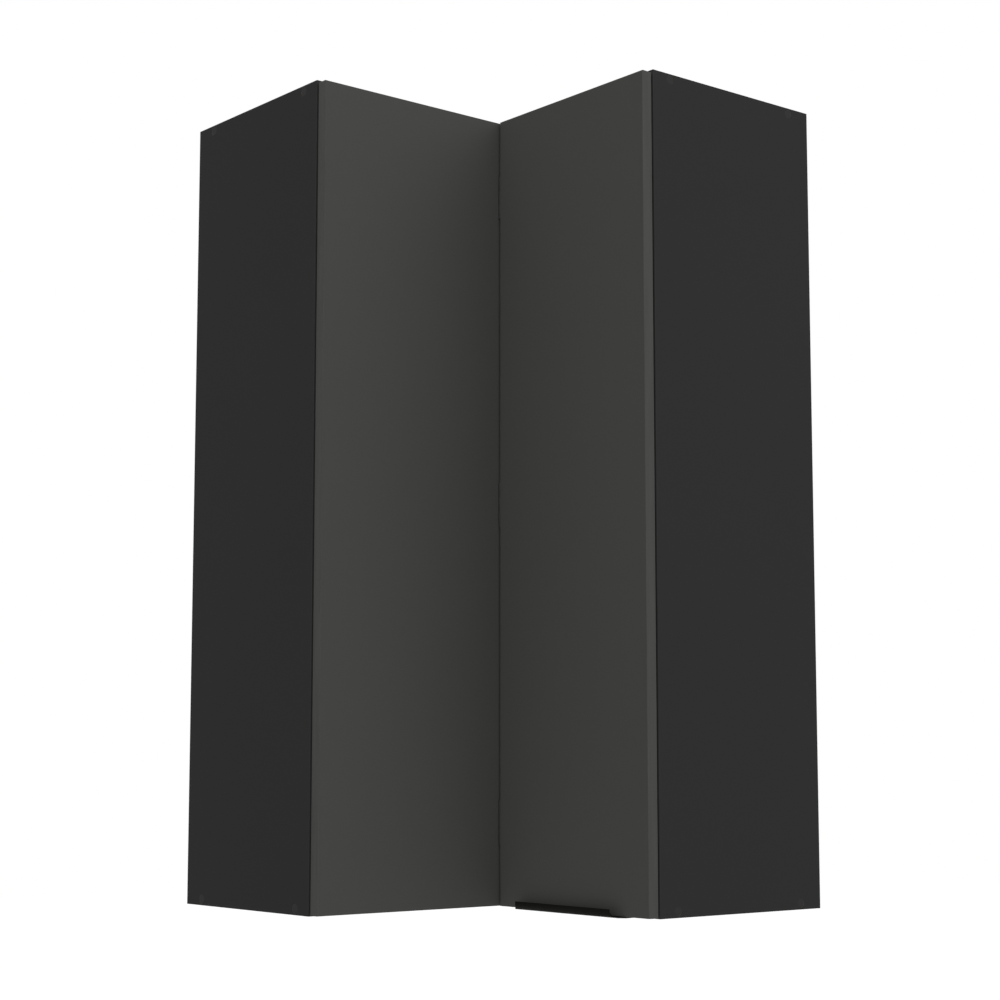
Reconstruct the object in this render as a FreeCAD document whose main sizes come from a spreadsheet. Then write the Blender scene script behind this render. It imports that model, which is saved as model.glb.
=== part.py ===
# Corner wall cabinet with a folding pair of leaves, built in millimetres.
# Origin: the wall corner at the underside of the carcass. The right leg runs along +X with its
# back on y = 0, the left leg runs along -Y with its back on x = 0, and +Z is up.
import FreeCAD, Part
import math
import os
import re

doc = FreeCAD.newDocument("corner_wall_cabinet")

# Every independent length in millimetres.
SIZES = {
    # carcass
    "leg_length": 600.0,
    "carcass_height": 1075.0,
    "carcass_depth": 291.0,
    "board": 16.0,
    "sheet": 3.0,
    "rebate_width": 10.0,
    "sheet_clearance": 0.3,
    "post_width": 100.0,
    "shelf_setback": 24.0,
    "shelf_side_clearance": 1.0,
    "band": 1.0,
    "band_round": 0.7,
    # leaves
    "leaf_thickness": 16.0,
    "leaf_gap": 1.5,
    "leaf_reveal": 1.5,
    "leaf_low_gap": 1.0,
    "leaf_top_gap": 4.0,
    "leaf_seam": 4.0,
    "leaf_overlap": 6.5,
    # end panel joints
    "screw_front_inset": 30.0,
    "screw_back_inset": 38.0,
    "screw_head_radius": 5.0,
    "screw_head_length": 3.5,
    "screw_shank_radius": 3.5,
    "screw_thread_radius": 2.5,
    "screw_length": 48.0,
    "cap_radius": 6.0,
    "cap_thickness": 1.2,
    "dowel_front_inset": 96.0,
    "dowel_back_inset": 105.0,
    "dowel_radius": 4.0,
    "dowel_side_depth": 10.0,
    "dowel_edge_depth": 20.0,
    "post_dowel_inset": 30.0,
    "post_dowel_pitch": 42.0,
    "fixing_clearance": 0.05,
    # back nails
    "nail_radius": 0.7,
    "nail_length": 18.0,
    "nail_head_radius": 1.6,
    "nail_head_thickness": 0.8,
    "nail_edge_inset": 60.0,
    # shelf pins and their rows of holes
    "pin_radius": 2.5,
    "pin_hole_depth": 10.0,
    "pin_reach": 8.0,
    "pin_front_inset": 62.0,
    "pin_back_inset": 62.0,
    "pin_pitch": 32.0,
    # concealed hinges
    "hinge_low_height": 100.0,
    "hinge_high_drop": 101.0,
    "plate_screw_inset": 37.0,
    "plate_thickness": 2.0,
    "plate_front": 27.0,
    "plate_depth": 42.0,
    "plate_half_height": 22.0,
    "plate_screw_pitch": 16.0,
    "plate_screw_radius": 2.5,
    "plate_screw_depth": 11.0,
    "plate_head_radius": 4.0,
    "plate_head_thickness": 1.6,
    "block_half_height": 6.0,
    "block_height": 10.0,
    "arm_wall": 1.2,
    "arm_side_clearance": 0.2,
    "arm_back_inset": 66.0,
    "arm_web": 2.0,
    "arm_screw_radius": 2.0,
    "arm_screw_depth": 7.0,
    "arm_head_radius": 3.4,
    "arm_head_thickness": 1.8,
    "root_pivot_inset": 42.3,
    "root_pivot_setback": 19.7,
    "root_pivot_collar": 4.0,
    "root_pin_radius": 1.5,
    "root_barrel_radius": 2.8,
    "elbow_inset": 24.4,
    "elbow_reach": 8.8,
    "cup_pivot_inset": 12.3,
    "cup_pivot_reach": 5.3,
    "cup_pin_radius": 1.0,
    "cup_barrel_radius": 2.2,
    "link_thickness": 2.4,
    "link_half_width": 5.0,
    "pivot_clearance": 0.05,
    "cup_inset": 23.5,
    "cup_radius": 17.45,
    "cup_wall": 0.95,
    "cup_depth": 12.5,
    "cup_floor": 0.8,
    "cup_boss": 3.0,
    "cup_notch": 6.5,
    "flange_half_height": 28.0,
    "flange_outer": 18.0,
    "flange_width": 24.0,
    "flange_thickness": 1.0,
    "cup_screw_pitch": 24.0,
    "cup_screw_inset": 29.0,
    "cup_screw_radius": 1.6,
    "cup_screw_depth": 11.0,
    "cup_head_radius": 3.2,
    "cup_head_thickness": 1.3,
    # folding hinges between the leaves
    "fold_low_height": 110.0,
    "fold_high_drop": 111.0,
    "fold_half_height": 30.0,
    "fold_knuckle_half": 9.0,
    "fold_axis_forward": 1.5,
    "fold_knuckle_radius": 1.7,
    "fold_pin_radius": 0.9,
    "fold_clearance": 0.03,
    "fold_flap": 1.0,
    "fold_web_inset": 2.3,
    "fold_flap_reach": 13.0,
    "fold_leaf_reach": 14.5,
    "fold_web_gap": 0.5,
    "fold_knuckle_gap": 0.2,
    "fold_screw_radius": 1.2,
    "fold_screw_depth": 13.0,
    "fold_head_radius": 2.2,
    "fold_head_thickness": 0.8,
    "fold_screw_pitch": 20.0,
    "fold_screw_inset": 8.5,
    # edge handle
    "handle_inset": 32.5,
    "handle_length": 212.0,
    "handle_sheet": 1.5,
    "handle_flat": 6.0,
    "handle_curve_radius": 9.0,
    "handle_lip": 1.8,
    "handle_flange": 1.2,
    "handle_flange_height": 28.0,
    "handle_taper": 16.5,
    "handle_screw_height": 22.0,
    "handle_screw_inset": 22.0,
    "handle_screw_radius": 1.5,
    "handle_screw_depth": 12.0,
    "handle_head_radius": 2.8,
    "handle_head_thickness": 1.4,
    # wall hangers
    "hanger_width": 18.0,
    "hanger_length": 66.0,
    "hanger_height": 52.0,
    "hanger_drop": 7.0,
    "hanger_boss_radius": 5.0,
    "hanger_boss_depth": 9.0,
    "hanger_boss_inset": 16.0,
    "hook_thickness": 3.0,
    "hook_inset": 8.0,
    "hook_height": 14.0,
    "hook_drop": 19.0,
    "hook_length": 56.0,
    "hook_rest": 1.0,
    "hook_notch_back": 4.0,
    "hook_notch_width": 5.0,
    "hook_notch_height": 8.0,
    "hook_clearance": 0.05,
    "hanger_screw_radius": 3.5,
    "hanger_screw_length": 8.0,
    "hanger_screw_proud": 2.0,
    "hanger_screw_inset": 9.0,
    "hanger_window_margin": 3.0,
    "driver_slot": 1.0,
    "driver_depth": 1.2,
    # leaf bumpers
    "bumper_radius": 4.0,
    "bumper_thickness": 1.2,
    "bumper_inset": 60.0,
}

# Counts, which do not scale with the lengths.
NAIL_COUNT_PER_LEG = 6
NAIL_COUNT_PER_SIDE = 5
PIN_HOLE_COUNT = 5
BAY_COUNT = 3

sheet_object = doc.addObject("Spreadsheet::Sheet", "Dims")
for row, (alias, value) in enumerate(SIZES.items(), start=1):
    sheet_object.set("A%d" % row, alias)
    sheet_object.set("B%d" % row, str(value))
    sheet_object.setAlias("B%d" % row, alias)
doc.recompute()

counter = [0]
nodes = []


def bound(text):
    """Turn a sum of size names into an expression on the sheet."""
    def prefix(match):
        word = match.group(0)
        return "Dims." + word if word in SIZES else word
    return re.sub(r"[a-z_]+", prefix, text)


def bind(thing, target, text):
    """Bind one property of an object to a sum of size names."""
    thing.setExpression(target, bound(text))


def new(kind):
    """Add an object under a running name."""
    counter[0] += 1
    return doc.addObject(kind, "shape_%d" % counter[0])


def place(thing, x, y, z):
    """Bind the position of an object."""
    bind(thing, "Placement.Base.x", x)
    bind(thing, "Placement.Base.y", y)
    bind(thing, "Placement.Base.z", z)


def box(x, y, z, dx, dy, dz, side="right"):
    """A box; the left leg is the right leg mirrored about the wall corner."""
    item = new("Part::Box")
    if side == "left":
        x, y, dx, dy = "-((%s) + (%s))" % (y, dy), "-((%s) + (%s))" % (x, dx), dy, dx
    bind(item, "Length", dx)
    bind(item, "Width", dy)
    bind(item, "Height", dz)
    place(item, x, y, z)
    return item


def rod(x, y, z, radius, length, along="z", side="right"):
    """A cylinder from a start point along +x, +y or +z, mirrored for the left leg."""
    item = new("Part::Cylinder")
    if side == "left" and along == "x":
        x, y, along = "-(%s)" % y, "-((%s) + (%s))" % (x, length), "y"
    elif side == "left" and along == "y":
        x, y, along = "-((%s) + (%s))" % (y, length), "-(%s)" % x, "x"
    elif side == "left":
        x, y = "-(%s)" % y, "-(%s)" % x
    turns = {
        "x": FreeCAD.Rotation(FreeCAD.Vector(0, 1, 0), 90),
        "y": FreeCAD.Rotation(FreeCAD.Vector(1, 0, 0), -90),
        "z": FreeCAD.Rotation(),
    }
    item.Placement = FreeCAD.Placement(FreeCAD.Vector(), turns[along])
    bind(item, "Radius", radius)
    bind(item, "Height", length)
    place(item, x, y, z)
    return item


def fuse(*pieces):
    """Join objects into one."""
    if len(pieces) == 1:
        return pieces[0]
    item = new("Part::MultiFuse")
    item.Shapes = list(pieces)
    item.Refine = True
    return item


def group(*pieces):
    """Keep separate solids together in one object."""
    item = new("Part::Compound")
    item.Links = list(pieces)
    return item


def cut(base, *tools):
    """Take tools away from a base."""
    item = new("Part::Cut")
    item.Base = base
    item.Tool = group(*tools) if len(tools) > 1 else tools[0]
    item.Refine = True
    return item


def common(*pieces):
    """Keep only what the objects share."""
    item = new("Part::MultiCommon")
    item.Shapes = list(pieces)
    return item


def soften(item, axis, high):
    """Round the long edges of a strip's outer face, which lies at one end of an axis."""
    doc.recompute()
    bounds = item.Shape.BoundBox
    low_side = (bounds.XMin, bounds.YMin, bounds.ZMin)
    high_side = (bounds.XMax, bounds.YMax, bounds.ZMax)
    place_of_face = high_side[axis] if high else low_side[axis]
    chosen = []
    for index, edge in enumerate(item.Shape.Edges, start=1):
        flat = all(abs(point.Point[axis] - place_of_face) < SIZES["fixing_clearance"]
                   for point in edge.Vertexes)
        if flat and edge.Length > 2 * SIZES["board"]:
            chosen.append((index, SIZES["band_round"], SIZES["band_round"]))
    rounded = new("Part::Fillet")
    rounded.Base = item
    rounded.Edges = chosen
    return rounded


def node(name, item):
    """Name a finished sub-part."""
    item.Label = name
    nodes.append(item)
    return item


# Derived places, as sums of the sizes.
INNER = "(leg_length - board)"
TOP_UNDER = "(carcass_height - board)"
FRONT = "(carcass_depth + leaf_gap + leaf_thickness)"
LEAF_BACK = "(carcass_depth + leaf_gap)"
LEAF_HEIGHT = "(carcass_height - leaf_low_gap - leaf_top_gap)"
LEAF_END = "(leg_length - leaf_reveal)"
HINGES = {
    "low": "hinge_low_height",
    "mid": "(carcass_height / 2)",
    "high": "(carcass_height - hinge_high_drop)",
}
FOLDS = {
    "low": "fold_low_height",
    "mid": "(carcass_height / 2)",
    "high": "(carcass_height - fold_high_drop)",
}
SIDES = ("right", "left")
JOINT_HEIGHTS = ("(board / 2)", "(carcass_height - board / 2)")
BAY = "((carcass_height - (%d) * board) / %d)" % (BAY_COUNT + 1, BAY_COUNT)
SHELVES = {
    "shelf_low": "(board + %s)" % BAY,
    "shelf_high": "(2 * board + 2 * %s)" % BAY,
}


# Fixings, each made once as itself and once a little larger as its hole.
def confirmat(side, depth, height, extra="0"):
    """A one-piece board screw through an end panel into a top or bottom edge."""
    outer = "(leg_length - cap_thickness)"
    y = "-(%s)" % depth
    head_start = "%s - screw_head_length" % outer
    head = rod(head_start, y, height, "screw_head_radius + %s" % extra,
               "screw_head_length", "x", side)
    shank = rod(INNER, y, height, "screw_shank_radius + %s" % extra,
                "%s - (%s)" % (head_start, INNER), "x", side)
    thread = rod("%s - screw_length" % outer, y, height, "screw_thread_radius + %s" % extra,
                 "screw_length - %s + %s" % (outer, INNER), "x", side)
    return fuse(head, shank, thread)


SCREW_DEPTHS = ("(carcass_depth - screw_front_inset)", "screw_back_inset")
DOWEL_DEPTHS = ("(carcass_depth - dowel_front_inset)", "dowel_back_inset")


def all_confirmats(extra="0", sides=SIDES, heights=JOINT_HEIGHTS):
    """Every board screw of the chosen sides and heights."""
    return [confirmat(side, depth, height, extra)
            for side in sides for height in heights for depth in SCREW_DEPTHS]


def all_caps(extra="0", sides=SIDES):
    """The round caps that close the screw holes, flush with the end panels."""
    return [rod("leg_length - cap_thickness", "-(%s)" % depth, height, "cap_radius + %s" % extra,
                "cap_thickness", "x", side)
            for side in sides for height in JOINT_HEIGHTS for depth in SCREW_DEPTHS]


def side_dowels(extra="0", sides=SIDES, heights=JOINT_HEIGHTS):
    """Dowels between the end panels and the top and bottom."""
    return [rod("%s - dowel_edge_depth - %s" % (INNER, extra), "-(%s)" % depth, height,
                "dowel_radius + %s" % extra,
                "dowel_edge_depth + dowel_side_depth + 2 * %s" % extra, "x", side)
            for side in sides for height in heights for depth in DOWEL_DEPTHS]


def post_dowels(extra="0", ends=("low", "high")):
    """Upright dowels that hold the rear corner post."""
    starts = {
        "low": "board - dowel_side_depth - %s" % extra,
        "high": "%s - dowel_edge_depth - %s" % (TOP_UNDER, extra),
    }
    made = []
    for end in ends:
        for step in (0, 1):
            y = "-(sheet + post_dowel_inset + %d * post_dowel_pitch)" % step
            made.append(rod("sheet + board / 2", y, starts[end], "dowel_radius + %s" % extra,
                            "dowel_edge_depth + dowel_side_depth + 2 * %s" % extra))
    return made


def nail(side, along, height, extra="0"):
    """One back nail with its head flush with the back."""
    head = rod(along, "-nail_head_thickness", height, "nail_head_radius + %s" % extra,
               "nail_head_thickness", "y", side)
    stem = rod(along, "-nail_length", height, "nail_radius + %s" % extra,
               "nail_length - nail_head_thickness", "y", side)
    return fuse(head, stem)


def row_places(first, last, count):
    """Evenly spread places between two sums of sizes."""
    return ["(%s) + ((%s) - (%s)) * %d / %d" % (first, last, first, step, count - 1)
            for step in range(count)]


LEG_ROW = row_places("nail_edge_inset", "%s - nail_edge_inset" % INNER, NAIL_COUNT_PER_LEG)
RISE_ROW = row_places("nail_edge_inset", "carcass_height - 2 * nail_edge_inset", NAIL_COUNT_PER_SIDE)


def nails(side, where, extra="0"):
    """The nails of one back sheet into one of the boards behind it."""
    if where == "bottom":
        return [nail(side, x, JOINT_HEIGHTS[0], extra) for x in LEG_ROW]
    if where == "top":
        return [nail(side, x, JOINT_HEIGHTS[1], extra) for x in LEG_ROW]
    if where == "end":
        return [nail(side, "%s + rebate_width / 2" % INNER, z, extra) for z in RISE_ROW]
    along = "sheet + board / 2" if side == "right" else "sheet + post_width * 3 / 4"
    return [nail(side, along, z, extra) for z in RISE_ROW]


def every_nail(side, extra="0"):
    """All nails of one back sheet."""
    return [item for where in ("bottom", "top", "end", "post")
            for item in nails(side, where, extra)]


PIN_DEPTHS = ("(carcass_depth - pin_front_inset)", "pin_back_inset")


def pin_height(shelf):
    """Centre height of the pins below a shelf."""
    return "(%s - pin_radius)" % SHELVES[shelf]


def shelf_pins(side, extra="0"):
    """Pins in one end panel under both shelves."""
    return [rod("%s - pin_reach" % INNER, "-(%s)" % depth, pin_height(shelf),
                "pin_radius + %s" % extra, "pin_reach + pin_hole_depth - fixing_clearance",
                "x", side)
            for shelf in SHELVES for depth in PIN_DEPTHS]


def post_pins(extra="0"):
    """Pins in the rear corner post under both shelves."""
    return [rod("sheet + board - pin_hole_depth", "-(sheet + post_width / 2)", pin_height(shelf),
                "pin_radius + %s" % extra, "pin_hole_depth + pin_reach", "x")
            for shelf in SHELVES]


def pin_holes(side):
    """Rows of holes for the shelf pins in one end panel."""
    made = []
    middle = (PIN_HOLE_COUNT - 1) // 2
    for shelf in SHELVES:
        for depth in PIN_DEPTHS:
            for step in range(PIN_HOLE_COUNT):
                height = "%s + (%d) * pin_pitch" % (pin_height(shelf), step - middle)
                made.append(rod(INNER, "-(%s)" % depth, height,
                                "pin_radius + fixing_clearance", "pin_hole_depth", "x", side))
    return made


# Concealed hinge fixings.
PLATE_FRONT_Y = "-(carcass_depth - plate_front)"
PLATE_SCREW_Y = "-(carcass_depth - plate_screw_inset)"


def plate_screws(height, extra="0"):
    """The two screws of one mounting plate."""
    made = []
    for sign in ("-", "+"):
        z = "%s %s plate_screw_pitch" % (height, sign)
        stem = rod("%s - plate_thickness" % INNER, PLATE_SCREW_Y, z,
                   "plate_screw_radius + %s" % extra, "plate_thickness + plate_screw_depth", "x")
        head = rod("%s - plate_thickness - plate_head_thickness" % INNER, PLATE_SCREW_Y, z,
                   "plate_head_radius", "plate_head_thickness", "x")
        made.append(stem if extra != "0" else fuse(stem, head))
    return made


def cup_screws(height, extra="0"):
    """The two screws of one hinge cup."""
    made = []
    x = "leg_length - cup_screw_inset"
    for sign in ("-", "+"):
        z = "%s %s cup_screw_pitch" % (height, sign)
        stem = rod(x, "-(%s) - cup_screw_depth" % LEAF_BACK, z, "cup_screw_radius + %s" % extra,
                   "cup_screw_depth + flange_thickness", "y")
        head = rod(x, "-(%s) + flange_thickness" % LEAF_BACK, z, "cup_head_radius",
                   "cup_head_thickness", "y")
        made.append(stem if extra != "0" else fuse(stem, head))
    return made


# Folding hinge fixings. The axis stands in the seam just behind the front faces.
AXIS_X = "(%s + leaf_seam / 2)" % FRONT
AXIS_Y = "(-(%s) + fold_axis_forward)" % FRONT
RIGHT_LEAF_START = "(%s + leaf_seam)" % FRONT
LEFT_LEAF_END = "(-(%s) + leaf_overlap)" % FRONT


def fold_screws_right(height, extra="0"):
    """Screws of one flap into the end edge of the right leaf."""
    made = []
    y = "%s + fold_screw_inset" % AXIS_Y
    for sign in ("-", "+"):
        z = "%s %s fold_screw_pitch" % (height, sign)
        head = rod("%s - fold_head_thickness" % RIGHT_LEAF_START, y, z,
                   "fold_head_radius + %s" % extra, "fold_head_thickness", "x")
        stem = rod(RIGHT_LEAF_START, y, z, "fold_screw_radius + %s" % extra,
                   "fold_screw_depth", "x")
        made.append(fuse(head, stem))
    return made


def fold_screws_left(height, extra="0"):
    """Screws of one flap into the end edge of the left leaf."""
    made = []
    x = "%s - leaf_thickness / 2" % FRONT
    for sign in ("-", "+"):
        z = "%s %s fold_screw_pitch" % (height, sign)
        head = rod(x, LEFT_LEAF_END, z, "fold_head_radius + %s" % extra,
                   "fold_head_thickness", "y")
        stem = rod(x, "%s - fold_screw_depth" % LEFT_LEAF_END, z,
                   "fold_screw_radius + %s" % extra, "fold_screw_depth", "y")
        made.append(fuse(head, stem))
    return made


HANDLE_START = "(%s + handle_inset)" % RIGHT_LEAF_START
HANDLE_SCREW_PLACES = (
    "%s + handle_screw_inset" % HANDLE_START,
    "%s + handle_length / 2" % HANDLE_START,
    "%s + handle_length - handle_screw_inset" % HANDLE_START,
)


def handle_screws(extra="0"):
    """Screws through the rear flange of the handle."""
    made = []
    for x in HANDLE_SCREW_PLACES:
        stem = rod(x, "-(%s) - handle_screw_depth" % LEAF_BACK, "handle_screw_height",
                   "handle_screw_radius + %s" % extra, "handle_screw_depth + handle_flange", "y")
        head = rod(x, "-(%s) + handle_flange" % LEAF_BACK, "handle_screw_height",
                   "handle_head_radius", "handle_head_thickness", "y")
        made.append(stem if extra != "0" else fuse(stem, head))
    return made


# Hanger places.
HANGER_TOP = "(%s - hanger_drop)" % TOP_UNDER
HANGER_LOW = "(%s - hanger_height)" % HANGER_TOP
HOOK_X = "(%s - hook_inset - hook_thickness)" % INNER
HOOK_Z = "(%s - hook_drop - hook_height)" % HANGER_TOP


def hanger_bosses(side, extra="0"):
    """Round bosses that seat a hanger in its end panel."""
    made = []
    for y in ("-(sheet + hanger_boss_inset)", "-(sheet + hanger_length - hanger_boss_inset)"):
        for z in ("%s + hanger_boss_inset" % HANGER_LOW, "%s - hanger_boss_inset" % HANGER_TOP):
            made.append(rod(INNER, y, z, "hanger_boss_radius + %s" % extra,
                            "hanger_boss_depth + %s" % extra, "x", side))
    return made


def hanger_screws(side, extra="0"):
    """Adjusting screws in the front of a hanger, each with a driver slot."""
    made = []
    x = "%s - hanger_width / 2" % INNER
    y = "-(sheet + sheet_clearance + hanger_length + hanger_screw_proud)"
    for z in ("%s + hanger_screw_inset" % HANGER_LOW, "%s - hanger_screw_inset" % HANGER_TOP):
        body = rod(x, y, z, "hanger_screw_radius + %s" % extra,
                   "hanger_screw_length + hanger_screw_proud", "y", side)
        if extra != "0":
            made.append(body)
            continue
        slot = box("%s - hanger_screw_radius" % x, y, "%s - driver_slot / 2" % z,
                   "2 * hanger_screw_radius", "driver_depth", "driver_slot", side)
        made.append(cut(body, slot))
    return made


# End panels, with a rebate that hides the back sheet and a band on the front edge.
for side in SIDES:
    panel = box(INNER, "-(carcass_depth - band)", "0", "board", "carcass_depth - band",
                "carcass_height", side)
    rebate = box(INNER, "-sheet", "0", "rebate_width", "sheet", "carcass_height", side)
    tools = [rebate]
    tools += all_confirmats("fixing_clearance", (side,))
    tools += all_caps("fixing_clearance", (side,))
    tools += side_dowels("fixing_clearance", (side,))
    tools += pin_holes(side)
    tools += nails(side, "end", "fixing_clearance")
    tools += hanger_bosses(side, "fixing_clearance")
    if side == "right":
        for height in HINGES.values():
            tools += plate_screws(height, "fixing_clearance")
    node("%s_end_panel" % side, cut(panel, fuse(*tools)))


def leg_board(z, thickness, inset_front, inset_back, inset_end):
    """An L-shaped board made of one run along each leg."""
    front = "(carcass_depth - band - %s)" % inset_front
    runs = [box(inset_back, "-%s" % front, z, "%s - %s - %s" % (INNER, inset_end, inset_back),
                "%s - %s" % (front, inset_back), thickness, side)
            for side in SIDES]
    return fuse(*runs)


def leg_bands(z, inset_front, inset_end):
    """The two edge bands in the inner corner of an L-shaped board."""
    front = "(carcass_depth - %s)" % inset_front
    end = "(%s - %s)" % (INNER, inset_end)
    right_band = box("%s - band" % front, "-%s" % front, z, "%s - %s + band" % (end, front),
                     "band", "board")
    left_band = box("%s - band" % front, "-%s" % end, z, "band", "%s - %s" % (end, front),
                    "board")
    return [right_band, left_band]


for name, z, height, where, end in (
        ("bottom_panel", "0", JOINT_HEIGHTS[0], "bottom", "low"),
        ("top_panel", TOP_UNDER, JOINT_HEIGHTS[1], "top", "high")):
    tools = all_confirmats("fixing_clearance", SIDES, (height,))
    tools += side_dowels("fixing_clearance", SIDES, (height,))
    tools += post_dowels("fixing_clearance", (end,))
    tools += nails("right", where, "fixing_clearance")
    tools += nails("left", where, "fixing_clearance")
    node(name, cut(leg_board(z, "board", "0", "sheet", "0"), fuse(*tools)))

# Shelves rest on their pins and stop short of the leaves, notched around the post.
for name, height in SHELVES.items():
    plain = leg_board(height, "board", "shelf_setback", "(sheet + shelf_side_clearance)",
                      "shelf_side_clearance")
    notch = box("sheet", "-(sheet + post_width + shelf_side_clearance)", height,
                "board + shelf_side_clearance", "post_width + shelf_side_clearance", "board")
    node(name, cut(plain, notch))

post = box("sheet", "-(sheet + post_width)", "board", "board", "post_width",
           "carcass_height - 2 * board")
post_tools = post_dowels("fixing_clearance") + post_pins("fixing_clearance")
post_tools += nails("right", "post", "fixing_clearance")
post_tools += nails("left", "post", "fixing_clearance")
node("rear_corner_post", cut(post, fuse(*post_tools)))

# Edge bands of the carcass: soft strips on the front edges of every board.
end_bands = [
    soften(box(INNER, "-carcass_depth", "0", "board", "band", "carcass_height"), 1, False),
    soften(box(INNER, "-carcass_depth", "0", "board", "band", "carcass_height", "left"), 0, True),
]
carcass_bands = leg_bands("0", "0", "0") + leg_bands(TOP_UNDER, "0", "0")
node("carcass_edge_bands", group(*(end_bands + carcass_bands)))
shelf_bands = [band for height in SHELVES.values()
               for band in leg_bands(height, "shelf_setback", "shelf_side_clearance")]
node("shelf_edge_bands", group(*shelf_bands))

# Back sheets, each with a window for its hook.
for side in SIDES:
    start = "0" if side == "right" else "sheet"
    plain = box(start, "-sheet", "0", "%s + rebate_width - sheet_clearance - %s" % (INNER, start),
                "sheet", "carcass_height", side)
    window = box("%s - hanger_window_margin" % HOOK_X, "-sheet",
                 "%s - hanger_window_margin" % HOOK_Z,
                 "hook_thickness + 2 * hanger_window_margin", "sheet",
                 "hook_height + 2 * hanger_window_margin", side)
    tools = [window] + every_nail(side, "fixing_clearance")
    node("%s_back_sheet" % side, cut(plain, fuse(*tools)))

# Groups of like fixings.
node("confirmat_screws", group(*all_confirmats()))
node("screw_caps", group(*all_caps()))
node("dowels", group(*(side_dowels() + post_dowels())))
node("back_nails", group(*(every_nail("right") + every_nail("left"))))
node("shelf_pins", group(*(shelf_pins("right") + shelf_pins("left") + post_pins())))

# Concealed hinges, three of a kind.
PIVOT_X = "(leg_length - root_pivot_inset)"
PIVOT_Y = "(-carcass_depth + root_pivot_setback)"
CUP_PIVOT_X = "(leg_length - cup_pivot_inset)"
CUP_PIVOT_Y = "(-%s - cup_pivot_reach)" % LEAF_BACK
ELBOW_X = "(leg_length - elbow_inset)"
ELBOW_Y = "(-%s - elbow_reach)" % LEAF_BACK
CUP_X = "(leg_length - cup_inset)"
BLOCK_FACE = "(%s - plate_thickness - block_height)" % INNER
CHEEK = "(block_half_height + arm_side_clearance)"
ARM_HALF = "(block_half_height + arm_side_clearance + arm_wall)"
ARM_BACK_Y = "(-(carcass_depth - arm_back_inset))"


LINK_POINTS = {
    "root_pivot": (PIVOT_X, PIVOT_Y),
    "elbow": (ELBOW_X, ELBOW_Y),
    "cup_pivot": (CUP_PIVOT_X, CUP_PIVOT_Y),
}
LEAF_BACK_DEPTH = SIZES["carcass_depth"] + SIZES["leaf_gap"]
LINK_PLACES = {
    "root_pivot": (-SIZES["root_pivot_inset"],
                   SIZES["root_pivot_setback"] - SIZES["carcass_depth"]),
    "elbow": (-SIZES["elbow_inset"], -LEAF_BACK_DEPTH - SIZES["elbow_reach"]),
    "cup_pivot": (-SIZES["cup_pivot_inset"], -LEAF_BACK_DEPTH - SIZES["cup_pivot_reach"]),
}


def link_plate(name_from, name_to, height):
    """One straight run of a hinge link between two named points."""
    from_x, from_y = LINK_POINTS[name_from]
    to_x, to_y = LINK_POINTS[name_to]
    across = LINK_PLACES[name_to][0] - LINK_PLACES[name_from][0]
    along = LINK_PLACES[name_to][1] - LINK_PLACES[name_from][1]
    heading = math.degrees(math.atan2(along, across))
    item = new("Part::Box")
    turn = FreeCAD.Rotation(FreeCAD.Vector(0, 0, 1), heading)
    item.Placement = FreeCAD.Placement(FreeCAD.Vector(), turn)
    bind(item, "Length", "sqrt((%s - %s)^2 + (%s - %s)^2)" % (to_x, from_x, to_y, from_y))
    bind(item, "Width", "link_thickness")
    bind(item, "Height", "2 * link_half_width")
    place(item, "%s + link_thickness / 2 * sin(%.9f deg)" % (from_x, heading),
          "%s - link_thickness / 2 * cos(%.9f deg)" % (from_y, heading),
          "%s - link_half_width" % height)
    return item


def hinge_pin(x, y, height, radius, half):
    """A pivot pin centred on a hinge height."""
    return rod(x, y, "%s - (%s)" % (height, half), radius, "2 * (%s)" % half)


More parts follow.
